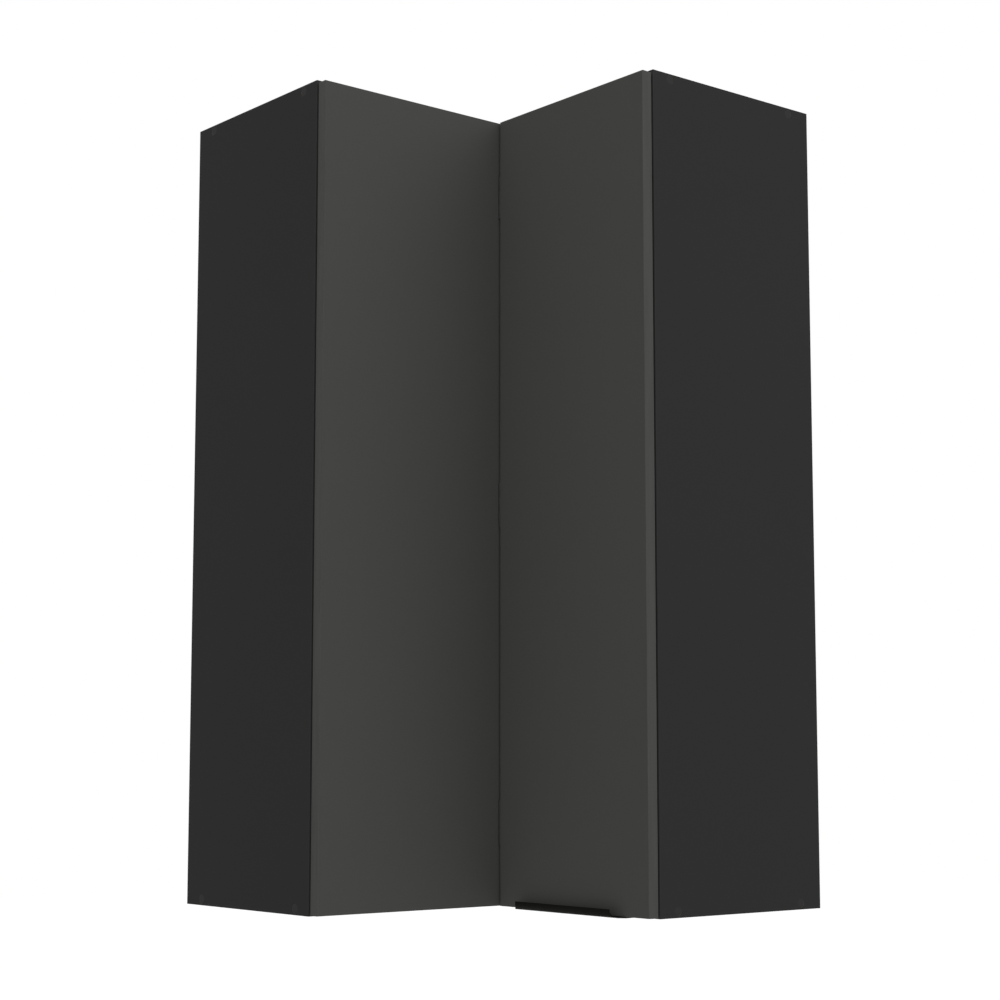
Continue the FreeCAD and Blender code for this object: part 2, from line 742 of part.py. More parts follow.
for key, height in HINGES.items():
    plate = box("%s - plate_thickness" % INNER, PLATE_FRONT_Y, "%s - plate_half_height" % height,
                "plate_thickness", "plate_depth", "2 * plate_half_height")
    block = box(BLOCK_FACE, PLATE_FRONT_Y, "%s - block_half_height" % height,
                "block_height", "plate_depth", "2 * block_half_height")
    arm_hole = rod(BLOCK_FACE, PLATE_SCREW_Y, height, "arm_screw_radius + fixing_clearance",
                   "arm_screw_depth", "x")
    plate_node = cut(fuse(plate, block),
                     fuse(arm_hole, *plate_screws(height, "fixing_clearance")))
    node("hinge_plate_%s" % key, plate_node)

    cheek_box = box("%s - root_pivot_collar" % PIVOT_X, "%s - root_pivot_collar" % PIVOT_Y,
                    "%s - %s" % (height, ARM_HALF),
                    "%s - %s + root_pivot_collar + block_height / 2" % (BLOCK_FACE, PIVOT_X),
                    "%s - %s + root_pivot_collar" % (ARM_BACK_Y, PIVOT_Y), "2 * %s" % ARM_HALF)
    channel_low = box(BLOCK_FACE, "%s - root_pivot_collar" % PIVOT_Y, "%s - %s" % (height, CHEEK),
                      "block_height", "%s - %s + root_pivot_collar" % (ARM_BACK_Y, PIVOT_Y),
                      "2 * %s" % CHEEK)
    link_room = box("%s - root_pivot_collar" % PIVOT_X, "%s - root_pivot_collar" % PIVOT_Y,
                    "%s - %s" % (height, CHEEK),
                    "%s - %s + root_pivot_collar + block_height" % (BLOCK_FACE, PIVOT_X),
                    "4 * root_barrel_radius", "2 * %s" % CHEEK)
    trough = box("%s - root_pivot_collar" % PIVOT_X, "%s + root_pivot_collar" % PIVOT_Y,
                 "%s - %s" % (height, CHEEK),
                 "%s - %s + root_pivot_collar - arm_web" % (BLOCK_FACE, PIVOT_X),
                 "%s - %s" % (ARM_BACK_Y, PIVOT_Y), "2 * %s" % CHEEK)
    pin_hole = hinge_pin(PIVOT_X, PIVOT_Y, height, "root_pin_radius + pivot_clearance", ARM_HALF)
    screw_hole = rod("%s - arm_web" % BLOCK_FACE, PLATE_SCREW_Y, height,
                     "arm_screw_radius + fixing_clearance", "arm_web", "x")
    node("hinge_arm_%s" % key,
         cut(cheek_box, fuse(channel_low, link_room, trough, pin_hole, screw_hole)))

    first_run = link_plate("root_pivot", "elbow", height)
    second_run = link_plate("elbow", "cup_pivot", height)
    bend = hinge_pin(ELBOW_X, ELBOW_Y, height, "link_thickness / 2", "link_half_width")
    root_barrel = hinge_pin(PIVOT_X, PIVOT_Y, height, "root_barrel_radius", "link_half_width")
    cup_barrel = hinge_pin(CUP_PIVOT_X, CUP_PIVOT_Y, height, "cup_barrel_radius",
                           "link_half_width")
    root_bore = hinge_pin(PIVOT_X, PIVOT_Y, height, "root_pin_radius + pivot_clearance",
                          "link_half_width")
    cup_bore = hinge_pin(CUP_PIVOT_X, CUP_PIVOT_Y, height, "cup_pin_radius + pivot_clearance",
                         "link_half_width")
    node("hinge_link_%s" % key,
         cut(fuse(first_run, second_run, bend, root_barrel, cup_barrel),
             group(root_bore, cup_bore)))

    pot = rod(CUP_X, "-(%s) - cup_depth" % LEAF_BACK, height, "cup_radius", "cup_depth", "y")
    flange = box("leg_length - flange_outer - flange_width", "-(%s)" % LEAF_BACK,
                 "%s - flange_half_height" % height, "flange_width", "flange_thickness",
                 "2 * flange_half_height")
    hollow = rod(CUP_X, "-(%s) - cup_depth + cup_floor" % LEAF_BACK, height,
                 "cup_radius - cup_wall", "cup_depth - cup_floor + flange_thickness", "y")
    boss_block = box("%s - cup_boss" % CUP_PIVOT_X, "%s - cup_boss" % CUP_PIVOT_Y,
                     "%s - cup_radius" % height, "2 * cup_boss", "2 * cup_boss",
                     "2 * cup_radius")
    boss_limit = rod(CUP_X, "-(%s) - cup_depth" % LEAF_BACK, height, "cup_radius", "cup_depth",
                     "y")
    boss_room = box("%s - cup_boss" % CUP_PIVOT_X, "%s - cup_boss" % CUP_PIVOT_Y,
                    "%s - block_half_height" % height, "2 * cup_boss", "2 * cup_boss",
                    "2 * block_half_height")
    notch = box("%s + cup_boss" % CUP_PIVOT_X, "-(%s) - cup_notch" % LEAF_BACK,
                "%s - block_half_height" % height, "cup_inset", "cup_notch",
                "2 * block_half_height")
    bosses = cut(common(boss_block, boss_limit), boss_room)
    cup_pin_hole = hinge_pin(CUP_PIVOT_X, CUP_PIVOT_Y, height, "cup_pin_radius + pivot_clearance",
                             "block_half_height + cup_boss + pivot_clearance")
    shell = cut(fuse(pot, flange), fuse(hollow, *cup_screws(height, "fixing_clearance")))
    node("hinge_cup_%s" % key, cut(fuse(shell, bosses), group(notch, cup_pin_hole)))

node("hinge_plate_screws", group(*[item for height in HINGES.values()
                                   for item in plate_screws(height)]))
node("hinge_arm_screws", group(*[
    fuse(rod("%s - arm_web - arm_head_thickness" % BLOCK_FACE, PLATE_SCREW_Y, height,
             "arm_head_radius", "arm_head_thickness", "x"),
         rod("%s - arm_web" % BLOCK_FACE, PLATE_SCREW_Y, height, "arm_screw_radius",
             "arm_web + arm_screw_depth - fixing_clearance", "x"))
    for height in HINGES.values()]))
node("hinge_root_pins", group(*[hinge_pin(PIVOT_X, PIVOT_Y, height, "root_pin_radius", ARM_HALF)
                                for height in HINGES.values()]))
node("hinge_cup_pins", group(*[hinge_pin(CUP_PIVOT_X, CUP_PIVOT_Y, height, "cup_pin_radius",
                                         "block_half_height + cup_boss")
                               for height in HINGES.values()]))
node("hinge_cup_screws", group(*[item for height in HINGES.values()
                                 for item in cup_screws(height)]))

# Leaves: a board core with a soft band on each of its four edges.
LEAF_TOP = "(leaf_low_gap + %s)" % LEAF_HEIGHT
LEAVES = {
    "right": (RIGHT_LEAF_START, "-%s" % FRONT, "(%s - %s)" % (LEAF_END, RIGHT_LEAF_START),
              "leaf_thickness"),
    "left": (LEAF_BACK, "-%s" % LEAF_END, "leaf_thickness",
             "(%s + %s)" % (LEAF_END, LEFT_LEAF_END)),
}


def leaf_tools(side):
    """Everything that is cut out of one leaf."""
    tools = []
    if side == "left":
        for height in FOLDS.values():
            tools += fold_screws_left(height, "fixing_clearance")
        return tools
    tools += handle_screws("fixing_clearance")
    for height in HINGES.values():
        tools.append(rod(CUP_X, "-(%s) - cup_depth - fixing_clearance" % LEAF_BACK, height,
                         "cup_radius + fixing_clearance", "cup_depth + fixing_clearance", "y"))
        tools += cup_screws(height, "fixing_clearance")
    for height in FOLDS.values():
        tools += fold_screws_right(height, "fixing_clearance")
    return tools


for side in SIDES:
    x, y, dx, dy = LEAVES[side]
    if side == "right":
        core = box("%s + band" % x, y, "leaf_low_gap + band", "%s - 2 * band" % dx, dy,
                   "%s - 2 * band" % LEAF_HEIGHT)
        first = box(x, y, "leaf_low_gap + band", "band", dy, "%s - 2 * band" % LEAF_HEIGHT)
        second = box("%s + %s - band" % (x, dx), y, "leaf_low_gap + band", "band", dy,
                     "%s - 2 * band" % LEAF_HEIGHT)
        across = 0
    else:
        core = box(x, "%s + band" % y, "leaf_low_gap + band", dx, "%s - 2 * band" % dy,
                   "%s - 2 * band" % LEAF_HEIGHT)
        first = box(x, y, "leaf_low_gap + band", dx, "band", "%s - 2 * band" % LEAF_HEIGHT)
        second = box(x, "%s + %s - band" % (y, dy), "leaf_low_gap + band", dx, "band",
                     "%s - 2 * band" % LEAF_HEIGHT)
        across = 1
    low = box(x, y, "leaf_low_gap", dx, dy, "band")
    high = box(x, y, "%s - band" % LEAF_TOP, dx, dy, "band")
    strips = [soften(first, across, False), soften(second, across, True),
              soften(low, 2, False), soften(high, 2, True)]
    node("%s_leaf" % side, cut(core, *leaf_tools(side)))
    node("%s_leaf_edge_bands" % side,
         group(*[cut(strip, *leaf_tools(side)) for strip in strips]))


# Folding hinges: a right flap with two knuckles, a left flap with one, and a pin.
def knuckle(z, length):
    """A plain knuckle on the folding axis."""
    return rod(AXIS_X, AXIS_Y, z, "fold_knuckle_radius", length)


for key, height in FOLDS.items():
    low = "%s - fold_half_height" % height
    part = "(fold_half_height - fold_knuckle_half - fold_knuckle_gap)"
    bore = rod(AXIS_X, AXIS_Y, low, "fold_pin_radius + fold_clearance", "2 * fold_half_height")
    flap = box("%s - fold_flap" % RIGHT_LEAF_START, "%s + fold_web_inset" % AXIS_Y, low,
               "fold_flap", "fold_flap_reach - fold_web_inset", "2 * fold_half_height")
    pieces = [flap]
    for z in (low, "%s + fold_half_height - %s" % (height, part)):
        pieces.append(knuckle(z, part))
        pieces.append(box("%s - fold_flap" % RIGHT_LEAF_START, AXIS_Y, z, "fold_flap",
                          "fold_web_inset", part))
    node("fold_flap_right_%s" % key,
         cut(fuse(*pieces), fuse(bore, *fold_screws_right(height, "fixing_clearance"))))

    bore = rod(AXIS_X, AXIS_Y, low, "fold_pin_radius + fold_clearance", "2 * fold_half_height")
    web_x = "%s - fold_web_gap - fold_flap" % AXIS_X
    run = "(leaf_overlap - fold_axis_forward)"
    middle = "%s - fold_knuckle_half" % height
    flat = box("%s - fold_leaf_reach" % FRONT, LEFT_LEAF_END, low,
               "fold_leaf_reach + leaf_seam / 2 - fold_web_gap", "fold_flap",
               "2 * fold_half_height")
    web = box(web_x, "%s + fold_web_inset" % AXIS_Y, low, "fold_flap",
              "%s - fold_web_inset" % run, "2 * fold_half_height")
    tongue = box(web_x, AXIS_Y, middle, "fold_flap", "fold_web_inset", "2 * fold_knuckle_half")
    ring = knuckle(middle, "2 * fold_knuckle_half")
    node("fold_flap_left_%s" % key,
         cut(fuse(flat, web, tongue, ring),
             fuse(bore, *fold_screws_left(height, "fixing_clearance"))))

node("fold_pins", group(*[rod(AXIS_X, AXIS_Y, "%s - fold_half_height" % height,
                              "fold_pin_radius", "2 * fold_half_height")
                          for height in FOLDS.values()]))
node("fold_screws_right", group(*[item for height in FOLDS.values()
                                  for item in fold_screws_right(height)]))
node("fold_screws_left", group(*[item for height in FOLDS.values()
                                 for item in fold_screws_left(height)]))

# Edge handle: a bent strip under the right leaf that curls up in front of it.
under = "(leaf_low_gap - handle_sheet)"
bend_y = "(-(%s) - handle_flat)" % FRONT
bend_z = "(%s + handle_curve_radius)" % under
flat_strip = box(HANDLE_START, bend_y, under, "handle_length",
                 "leaf_thickness + handle_flat + handle_flange", "handle_sheet")
flange_strip = box(HANDLE_START, "-(%s)" % LEAF_BACK, under, "handle_length", "handle_flange",
                   "handle_flange_height")
curl_outer = rod(HANDLE_START, bend_y, bend_z, "handle_curve_radius", "handle_length", "x")
curl_inner = rod(HANDLE_START, bend_y, bend_z, "handle_curve_radius - handle_sheet",
                 "handle_length", "x")
curl_zone = box(HANDLE_START, "%s - handle_curve_radius" % bend_y, under, "handle_length",
                "handle_curve_radius", "handle_curve_radius")
curl = cut(common(curl_outer, curl_zone), curl_inner)
lip = box(HANDLE_START, "%s - handle_curve_radius" % bend_y, bend_z, "handle_length",
          "handle_sheet", "handle_lip")
taper_run = "(handle_flat + handle_curve_radius)"
taper_tools = []
HANDLE_END = "(%s + handle_length)" % HANDLE_START
handle_forward = SIZES["handle_flat"] + SIZES["handle_curve_radius"]
slope = math.degrees(math.atan2(SIZES["handle_taper"], handle_forward))
for x, sign in ((HANDLE_START, 1), (HANDLE_END, -1)):
    wedge = new("Part::Box")
    turn = FreeCAD.Rotation(FreeCAD.Vector(0, 0, 1), sign * slope + (180 if sign > 0 else 0))
    wedge.Placement = FreeCAD.Placement(FreeCAD.Vector(), turn)
    bind(wedge, "Length", "handle_curve_radius + %s" % taper_run)
    bind(wedge, "Width", "2 * %s" % taper_run)
    bind(wedge, "Height", "2 * handle_curve_radius")
    if sign > 0:
        place(wedge, x, "-(%s)" % FRONT, "%s - handle_sheet" % under)
    else:
        place(wedge, "%s + 2 * %s * sin(%.9f deg)" % (x, taper_run, -slope),
              "-(%s) - 2 * %s * cos(%.9f deg)" % (FRONT, taper_run, -slope),
              "%s - handle_sheet" % under)
    taper_tools.append(wedge)
node("edge_handle", cut(fuse(flat_strip, flange_strip, curl, lip),
                        *(taper_tools + handle_screws("fixing_clearance"))))
node("handle_screws", group(*handle_screws()))

# Wall hangers with hooks that slide out of the backs.
for side in SIDES:
    y = "-(sheet + sheet_clearance + hanger_length)"
    housing = box("%s - hanger_width" % INNER, y, HANGER_LOW, "hanger_width", "hanger_length",
                  "hanger_height", side)
    slot = box("%s - hook_clearance" % HOOK_X,
               "-(hook_rest + hook_length + sheet)", "%s - hook_clearance" % HOOK_Z,
               "hook_thickness + 2 * hook_clearance", "hook_length + sheet",
               "hook_height + 2 * hook_clearance", side)
    node("%s_hanger" % side,
         cut(fuse(housing, *hanger_bosses(side)),
             fuse(slot, *hanger_screws(side, "fixing_clearance"))))
    node("%s_hanger_screws" % side, group(*hanger_screws(side)))
    bar = box(HOOK_X, "-(hook_rest + hook_length)", HOOK_Z, "hook_thickness", "hook_length",
              "hook_height", side)
    claw = box(HOOK_X, "-(hook_rest + hook_notch_back + hook_notch_width)", HOOK_Z,
               "hook_thickness", "hook_notch_width", "hook_notch_height", side)
    node("%s_hook" % side, cut(bar, claw))

# Soft bumpers on the front edge of the left end panel.
node("leaf_bumpers", group(*[
    rod("carcass_depth", "-(leg_length - board / 2)", z, "bumper_radius", "bumper_thickness", "x")
    for z in ("bumper_inset", "(carcass_height - bumper_inset)")]))

doc.recompute()

# Every object must be sound before anything is written.
for item in doc.Objects:
    if "Invalid" in item.State or "Error" in item.State:
        raise RuntimeError("unsound object %s %s" % (item.Name, item.Label))
for item in nodes:
    if item.Shape.isNull() or not item.Shape.isValid():
        raise RuntimeError("bad shape %s" % item.Label)

os.makedirs("parts", exist_ok=True)
for item in nodes:
    item.Shape.exportStep("parts/%s.step" % item.Label)
print("nodes", len(nodes))
for item in nodes:
    size = item.Shape.BoundBox
    print("%-24s %7.1f %7.1f %7.1f %7.1f %7.1f %7.1f  v %.1f n %d" % (
        item.Label, size.XMin, size.XMax, size.YMin, size.YMax, size.ZMin, size.ZMax,
        item.Shape.Volume, len(item.Shape.Solids)))
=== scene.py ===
"""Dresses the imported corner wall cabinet: finishes, fine pieces, light and camera.

Everything is in metres, in the frame of the construction: the origin is the wall corner at the
underside of the carcass, the right leg runs along +X, the left leg along -Y, and +Z is up.
"""

from __future__ import annotations

import logging
import math
from dataclasses import dataclass, field
from enum import Enum

import bmesh
import bpy
from mathutils import Matrix, Vector


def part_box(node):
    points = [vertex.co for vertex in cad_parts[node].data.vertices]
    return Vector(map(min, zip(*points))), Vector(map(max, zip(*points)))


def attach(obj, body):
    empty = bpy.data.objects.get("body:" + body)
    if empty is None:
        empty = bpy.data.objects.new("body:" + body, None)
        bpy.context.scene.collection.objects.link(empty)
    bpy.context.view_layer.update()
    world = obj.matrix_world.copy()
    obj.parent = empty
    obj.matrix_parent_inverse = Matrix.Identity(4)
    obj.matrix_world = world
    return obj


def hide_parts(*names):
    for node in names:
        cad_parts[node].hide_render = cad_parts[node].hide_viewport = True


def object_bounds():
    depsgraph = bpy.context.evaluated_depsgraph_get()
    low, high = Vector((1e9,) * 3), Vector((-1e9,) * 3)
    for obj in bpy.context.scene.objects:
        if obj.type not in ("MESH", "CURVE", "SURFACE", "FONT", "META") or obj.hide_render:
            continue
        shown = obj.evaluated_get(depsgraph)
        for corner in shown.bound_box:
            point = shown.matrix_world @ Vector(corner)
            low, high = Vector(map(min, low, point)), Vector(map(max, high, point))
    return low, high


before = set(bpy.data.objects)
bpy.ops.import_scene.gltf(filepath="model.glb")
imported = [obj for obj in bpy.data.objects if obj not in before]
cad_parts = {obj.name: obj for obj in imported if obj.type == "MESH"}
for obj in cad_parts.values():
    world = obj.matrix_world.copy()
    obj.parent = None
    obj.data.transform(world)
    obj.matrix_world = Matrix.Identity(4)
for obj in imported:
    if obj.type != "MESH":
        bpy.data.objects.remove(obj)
CAD_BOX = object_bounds()

log = logging.getLogger("cabinet")

MM = 0.001
SMOOTH_ANGLE = math.radians(30.0)
FLAT_ANGLE = math.radians(0.5)
WELD_DISTANCE = 0.002 * MM
POLE_DISTANCE = 0.001 * MM
CUT_DISTANCE = 0.0001 * MM
WHITE = (1.0, 1.0, 1.0, 1.0)
HINGE_HEIGHTS = ("low", "mid", "high")

Colour = tuple[float, float, float]
Triple = tuple[float, float, float]
Span = tuple[float, float]


class Axis(Enum):
    """A main direction, by its place in a vector."""

    X = 0
    Y = 1
    Z = 2


class Body(Enum):
    """The rigid bodies of the construction."""

    CARCASS = "carcass"
    LINKS = "hinge_links"
    RIGHT_DOOR = "right_door"
    LEFT_DOOR = "left_door"
    RIGHT_HOOK = "right_hook"
    LEFT_HOOK = "left_hook"


class Slot(Enum):
    """Names of the record's material slots; some new pieces carry one, though their finish comes
    from their own material.
    """

    CAP = "cap_plastic"
    FIXING = "fixing_steel"
    HINGE = "hinge_steel"
    FOLD_HINGE = "fold_hinge_steel"
    HANDLE = "handle_metal"
    HANGER = "hanger_plastic"
    HOOK = "hook_steel"
    BUMPER = "bumper_rubber"


# Node graphs


@dataclass(frozen=True)
class Pattern:
    """A cloudy pattern: cycles to the metre, octaves, how strong they are, and the stretch."""

    scale: float
    detail: float = 2.0
    rough: float = 0.5
    stretch: Triple = (1.0, 1.0, 1.0)


class Graph:
    """A small builder of the nodes of a material or of the world."""

    PATTERN_LOW = 0.3
    PATTERN_HIGH = 0.7
    FIRST_COLOUR = 6
    SECOND_COLOUR = 7
    MIXED_COLOUR = 2

    def __init__(self, owner: bpy.types.Material | bpy.types.World) -> None:
        """Start with an empty tree.

        Args:
            owner: The material or world that the nodes belong to.
        """
        self.owner = owner
        self.owner.use_nodes = True
        self.tree = self.owner.node_tree
        self.tree.nodes.clear()
        self.coords = self.tree.nodes.new("ShaderNodeTexCoord")

    def plug(self, value: object, socket: bpy.types.NodeSocket) -> None:
        """Link a socket into another, or set a plain value on it.

        Args:
            value: A socket, a number or a colour.
            socket: The socket that takes it.
        """
        if isinstance(value, bpy.types.NodeSocket):
            self.tree.links.new(value, socket)
        elif isinstance(value, tuple) and len(value) == 3 and socket.type == "RGBA":
            socket.default_value = (*value, 1.0)
        else:
            socket.default_value = value

    def place(self, stretch: Triple) -> bpy.types.NodeSocket:
        """Object coordinates, stretched by a factor along each axis.

        Args:
            stretch: The factors along X, Y and Z.

        Returns:
            The socket with the coordinates.
        """
        mapping = self.tree.nodes.new("ShaderNodeMapping")
        mapping.inputs["Scale"].default_value = stretch
        self.tree.links.new(self.coords.outputs["Object"], mapping.inputs["Vector"])
        return mapping.outputs["Vector"]

    def noise(self, pattern: Pattern) -> bpy.types.NodeSocket:
        """A cloudy pattern between 0 and 1.

        Args:
            pattern: Its scale, octaves and stretch.

        Returns:
            The socket with the pattern.
        """
        made = self.tree.nodes.new("ShaderNodeTexNoise")
        made.inputs["Scale"].default_value = pattern.scale
        made.inputs["Detail"].default_value = pattern.detail
        made.inputs["Roughness"].default_value = pattern.rough
        self.tree.links.new(self.place(pattern.stretch), made.inputs["Vector"])
        return made.outputs["Fac"]

    def flakes(self, scale: float, stretch: Triple) -> bpy.types.NodeSocket:
        """A pattern of small flat cells, each of its own shade.

        Args:
            scale: Cells to the metre.
            stretch: Factors on the coordinates.

        Returns:
            The socket with one value for each cell.
        """
        made = self.tree.nodes.new("ShaderNodeTexVoronoi")
        made.inputs["Scale"].default_value = scale
        made.inputs["Randomness"].default_value = 1.0
        self.tree.links.new(self.place(stretch), made.inputs["Vector"])
        return self.split(made.outputs["Color"], Axis.X)

    def split(self, vector: bpy.types.NodeSocket, axis: Axis) -> bpy.types.NodeSocket:
        """One component of a vector.

        Args:
            vector: The socket with the vector.
            axis: Which component.

        Returns:
            The socket with the component.
        """
        made = self.tree.nodes.new("ShaderNodeSeparateXYZ")
        self.tree.links.new(vector, made.inputs[0])
        return made.outputs[axis.value]

    def math(self, operation: str, first: object, second: object = 0.0) -> bpy.types.NodeSocket:
        """One step of arithmetic.

        Args:
            operation: The operation's name.
            first: A socket or a number.
            second: A socket or a number.

        Returns:
            The socket with the result.
        """
        made = self.tree.nodes.new("ShaderNodeMath")
        made.operation = operation
        self.plug(first, made.inputs[0])
        self.plug(second, made.inputs[1])
        return made.outputs[0]

    def spread(self, value: bpy.types.NodeSocket,
               span: Span = (0.0, 1.0)) -> bpy.types.NodeSocket:
        """Stretch a pattern from its middle range to another range.

        Args:
            value: The socket with the pattern.
            span: Where the new range starts and ends.

        Returns:
            The socket with the stretched pattern.
        """
        made = self.tree.nodes.new("ShaderNodeMapRange")
        made.inputs["From Min"].default_value = self.PATTERN_LOW
        made.inputs["From Max"].default_value = self.PATTERN_HIGH
        made.inputs["To Min"].default_value = span[0]
        made.inputs["To Max"].default_value = span[1]
        self.tree.links.new(value, made.inputs["Value"])
        return made.outputs["Result"]

    def blend(self, share: object, first: object, second: object) -> bpy.types.NodeSocket:
        """Mix two colours.

        Args:
            share: How much of the second, from 0 to 1.
            first: A colour or a socket.
            second: A colour or a socket.

        Returns:
            The socket with the mixed colour.
        """
        made = self.tree.nodes.new("ShaderNodeMix")
        made.data_type = "RGBA"
        self.plug(share, made.inputs["Factor"])
        self.plug(first, made.inputs[self.FIRST_COLOUR])
        self.plug(second, made.inputs[self.SECOND_COLOUR])
        return made.outputs[self.MIXED_COLOUR]

    def bump(self, height: bpy.types.NodeSocket, distance: float, strength: float = 1.0,
             below: bpy.types.NodeSocket | None = None) -> bpy.types.NodeSocket:
        """Turn a height pattern into a bent normal.

        Args:
            height: The pattern.
            distance: Its depth in metres.
            strength: How much of it shows.
            below: An earlier bend that this one lies on.

        Returns:
            The socket with the normal.
        """
        made = self.tree.nodes.new("ShaderNodeBump")
        made.inputs["Distance"].default_value = distance
        made.inputs["Strength"].default_value = strength
        self.plug(height, made.inputs["Height"])
        if below is not None:
            self.plug(below, made.inputs["Normal"])
        return made.outputs["Normal"]

    def seen(self) -> bpy.types.NodeSocket:
        """Tell the rays from the camera, mirrors and glass from the light's own rays.

        Returns:
            The socket with 1 for the first and 0 for the others.
        """
        path = self.tree.nodes.new("ShaderNodeLightPath")
        share = self.math("MAXIMUM", path.outputs["Is Camera Ray"], path.outputs["Is Glossy Ray"])
        return self.math("MAXIMUM", share, path.outputs["Is Transmission Ray"])

    def glow(self, kind: str, strength: object) -> bpy.types.NodeSocket:
        """White light from a surface or from the world.

        Args:
            kind: The node's type.
            strength: A socket or a number.

        Returns:
            The shader's socket.
        """
        made = self.tree.nodes.new(kind)
        made.inputs["Color"].default_value = WHITE
        self.plug(strength, made.inputs["Strength"])
        return made.outputs[0]

    def principled(self, **inputs: object) -> bpy.types.NodeSocket:
        """The main shader.

        Args:
            **inputs: Values or sockets, by the shader's own names with _ for spaces.

        Returns:
            The shader's socket.
        """
        made = self.tree.nodes.new("ShaderNodeBsdfPrincipled")
        for name, value in inputs.items():
            self.plug(value, made.inputs[name.replace("_", " ")])
        return made.outputs["BSDF"]

    def end(self, kind: str, surface: bpy.types.NodeSocket) -> None:
        """End with the output.

        Args:
            kind: The output node's type.
            surface: The shader's socket.
        """
        output = self.tree.nodes.new(kind)
        self.tree.links.new(surface, output.inputs["Surface"])

    def shader(self, **inputs: object) -> bpy.types.Material:
        """End with the main shader and the output.

        Args:
            **inputs: Values or sockets, by the shader's own names with _ for spaces.

        Returns:
            The finished material.
        """
        self.end("ShaderNodeOutputMaterial", self.principled(**inputs))
        return self.owner


def shade(colour: Colour, factor: float) -> Colour:
    """A lighter or darker version of a colour."""
    return tuple(min(1.0, channel * factor) for channel in colour)


def shades(colour: Colour, factors: Span) -> tuple[Colour, Colour]:
    """Two versions of a colour, for the two ends of a pattern."""
    return shade(colour, factors[0]), shade(colour, factors[1])


# Finishes


@dataclass(frozen=True)
class Laminate:
    """Matt laminate on board, with bare chipboard where a saw or drill went through it."""

    name: str
    colour: Colour
    faces: Axis
    roughness: Span = (0.56, 0.60)
    specular: float = 0.028
    cloud: Pattern = Pattern(3.2, 3.0, 0.55)
    cloud_shades: Span = (0.985, 1.015)
    speckle: Pattern = Pattern(1450.0, 1.0)
    speckle_share: float = 0.22
    speckle_shade: float = 1.14
    sheen: Pattern = Pattern(300.0, 3.0)
    grain: Pattern = Pattern(2600.0, 2.0, 0.6)
    peel: Pattern = Pattern(240.0, 1.0)
    chip_dark: Colour = (0.17, 0.105, 0.055)
    chip_light: Colour = (0.42, 0.29, 0.16)
    chip_scale: float = 520.0
    chip_stretch: Triple = (1.0, 1.0, 1.9)
    grit: Pattern = Pattern(900.0)
    grit_share: float = 0.35
    grit_shade: float = 0.6
    foot_margin: float = 1.0 * MM
    head_margin: float = 0.5 * MM

    def build(self) -> bpy.types.Material:
        """Make the material.

        Returns:
            The finished material.
        """
        graph = Graph(bpy.data.materials.new(self.name))
        tone = graph.blend(self.bare_share(graph), self.surface(graph), self.chipboard(graph))
        grain = graph.bump(graph.noise(self.grain), distance=0.02 * MM, strength=0.55)
        peel = graph.bump(graph.noise(self.peel), distance=0.04 * MM, strength=0.3, below=grain)
        return graph.shader(Base_Color=tone, Normal=peel, Specular_IOR_Level=self.specular,
                            Roughness=graph.spread(graph.noise(self.sheen), self.roughness))

    def surface(self, graph: Graph) -> bpy.types.NodeSocket:
        """The printed face: a faint cloud under a fine speckle.

        Args:
            graph: The material's graph.

        Returns:
            The socket with the colour.
        """
        cloud = graph.spread(graph.noise(self.cloud))
        speckle = graph.spread(graph.noise(self.speckle))
        tone = graph.blend(cloud, *shades(self.colour, self.cloud_shades))
        return graph.blend(graph.math("MULTIPLY", speckle, self.speckle_share), tone,
                           shade(self.colour, self.speckle_shade))

    def chipboard(self, graph: Graph) -> bpy.types.NodeSocket:
        """Pressed wood chips, with darker grit between them.

        Args:
            graph: The material's graph.

        Returns:
            The socket with the colour.
        """
        flake = graph.flakes(self.chip_scale, self.chip_stretch)
        chips = graph.blend(flake, self.chip_dark, self.chip_light)
        grit = graph.math("MULTIPLY", graph.noise(self.grit), self.grit_share)
        return graph.blend(grit, chips, shade(self.chip_dark, self.grit_shade))

    def bare_share(self, graph: Graph) -> bpy.types.NodeSocket:
        """Where the board is bare: its sawn and drilled faces, apart from its foot and head.

        Args:
            graph: The material's graph.

        Returns:
            The socket with 1 on bare faces and 0 elsewhere.
        """
        across = graph.math("ABSOLUTE", graph.split(graph.coords.outputs["Normal"], self.faces))
        sawn = graph.math("LESS_THAN", across, 0.5)
        height = graph.split(graph.coords.outputs["Object"], Axis.Z)
        above = graph.math("GREATER_THAN", height, CAD_BOX[0].z + self.foot_margin)
        below = graph.math("LESS_THAN", height, CAD_BOX[1].z - self.head_margin)
        return graph.math("MULTIPLY", sawn, graph.math("MULTIPLY", above, below))


@dataclass(frozen=True)
class EdgeBand:
    """Thin matt plastic band, a touch smoother than the laminate beside it."""

    name: str
    colour: Colour
    roughness: Span = (0.45, 0.54)
    specular: float = 0.05
    streak: Pattern = Pattern(210.0, stretch=(1.0, 1.0, 0.06))
    streak_shades: Span = (0.95, 1.06)
    sheen: Pattern = Pattern(120.0)
    grain: Pattern = Pattern(1800.0, 2.0, 0.6)

    def build(self) -> bpy.types.Material:
        """Make the material.

        Returns:
            The finished material.
        """
        graph = Graph(bpy.data.materials.new(self.name))
        streak = graph.spread(graph.noise(self.streak))
        tone = graph.blend(streak, *shades(self.colour, self.streak_shades))
        rough = graph.spread(graph.noise(self.sheen), self.roughness)
        bend = graph.bump(graph.noise(self.grain), distance=0.015 * MM, strength=0.5)
        return graph.shader(Base_Color=tone, Roughness=rough, Normal=bend,
                            Specular_IOR_Level=self.specular)


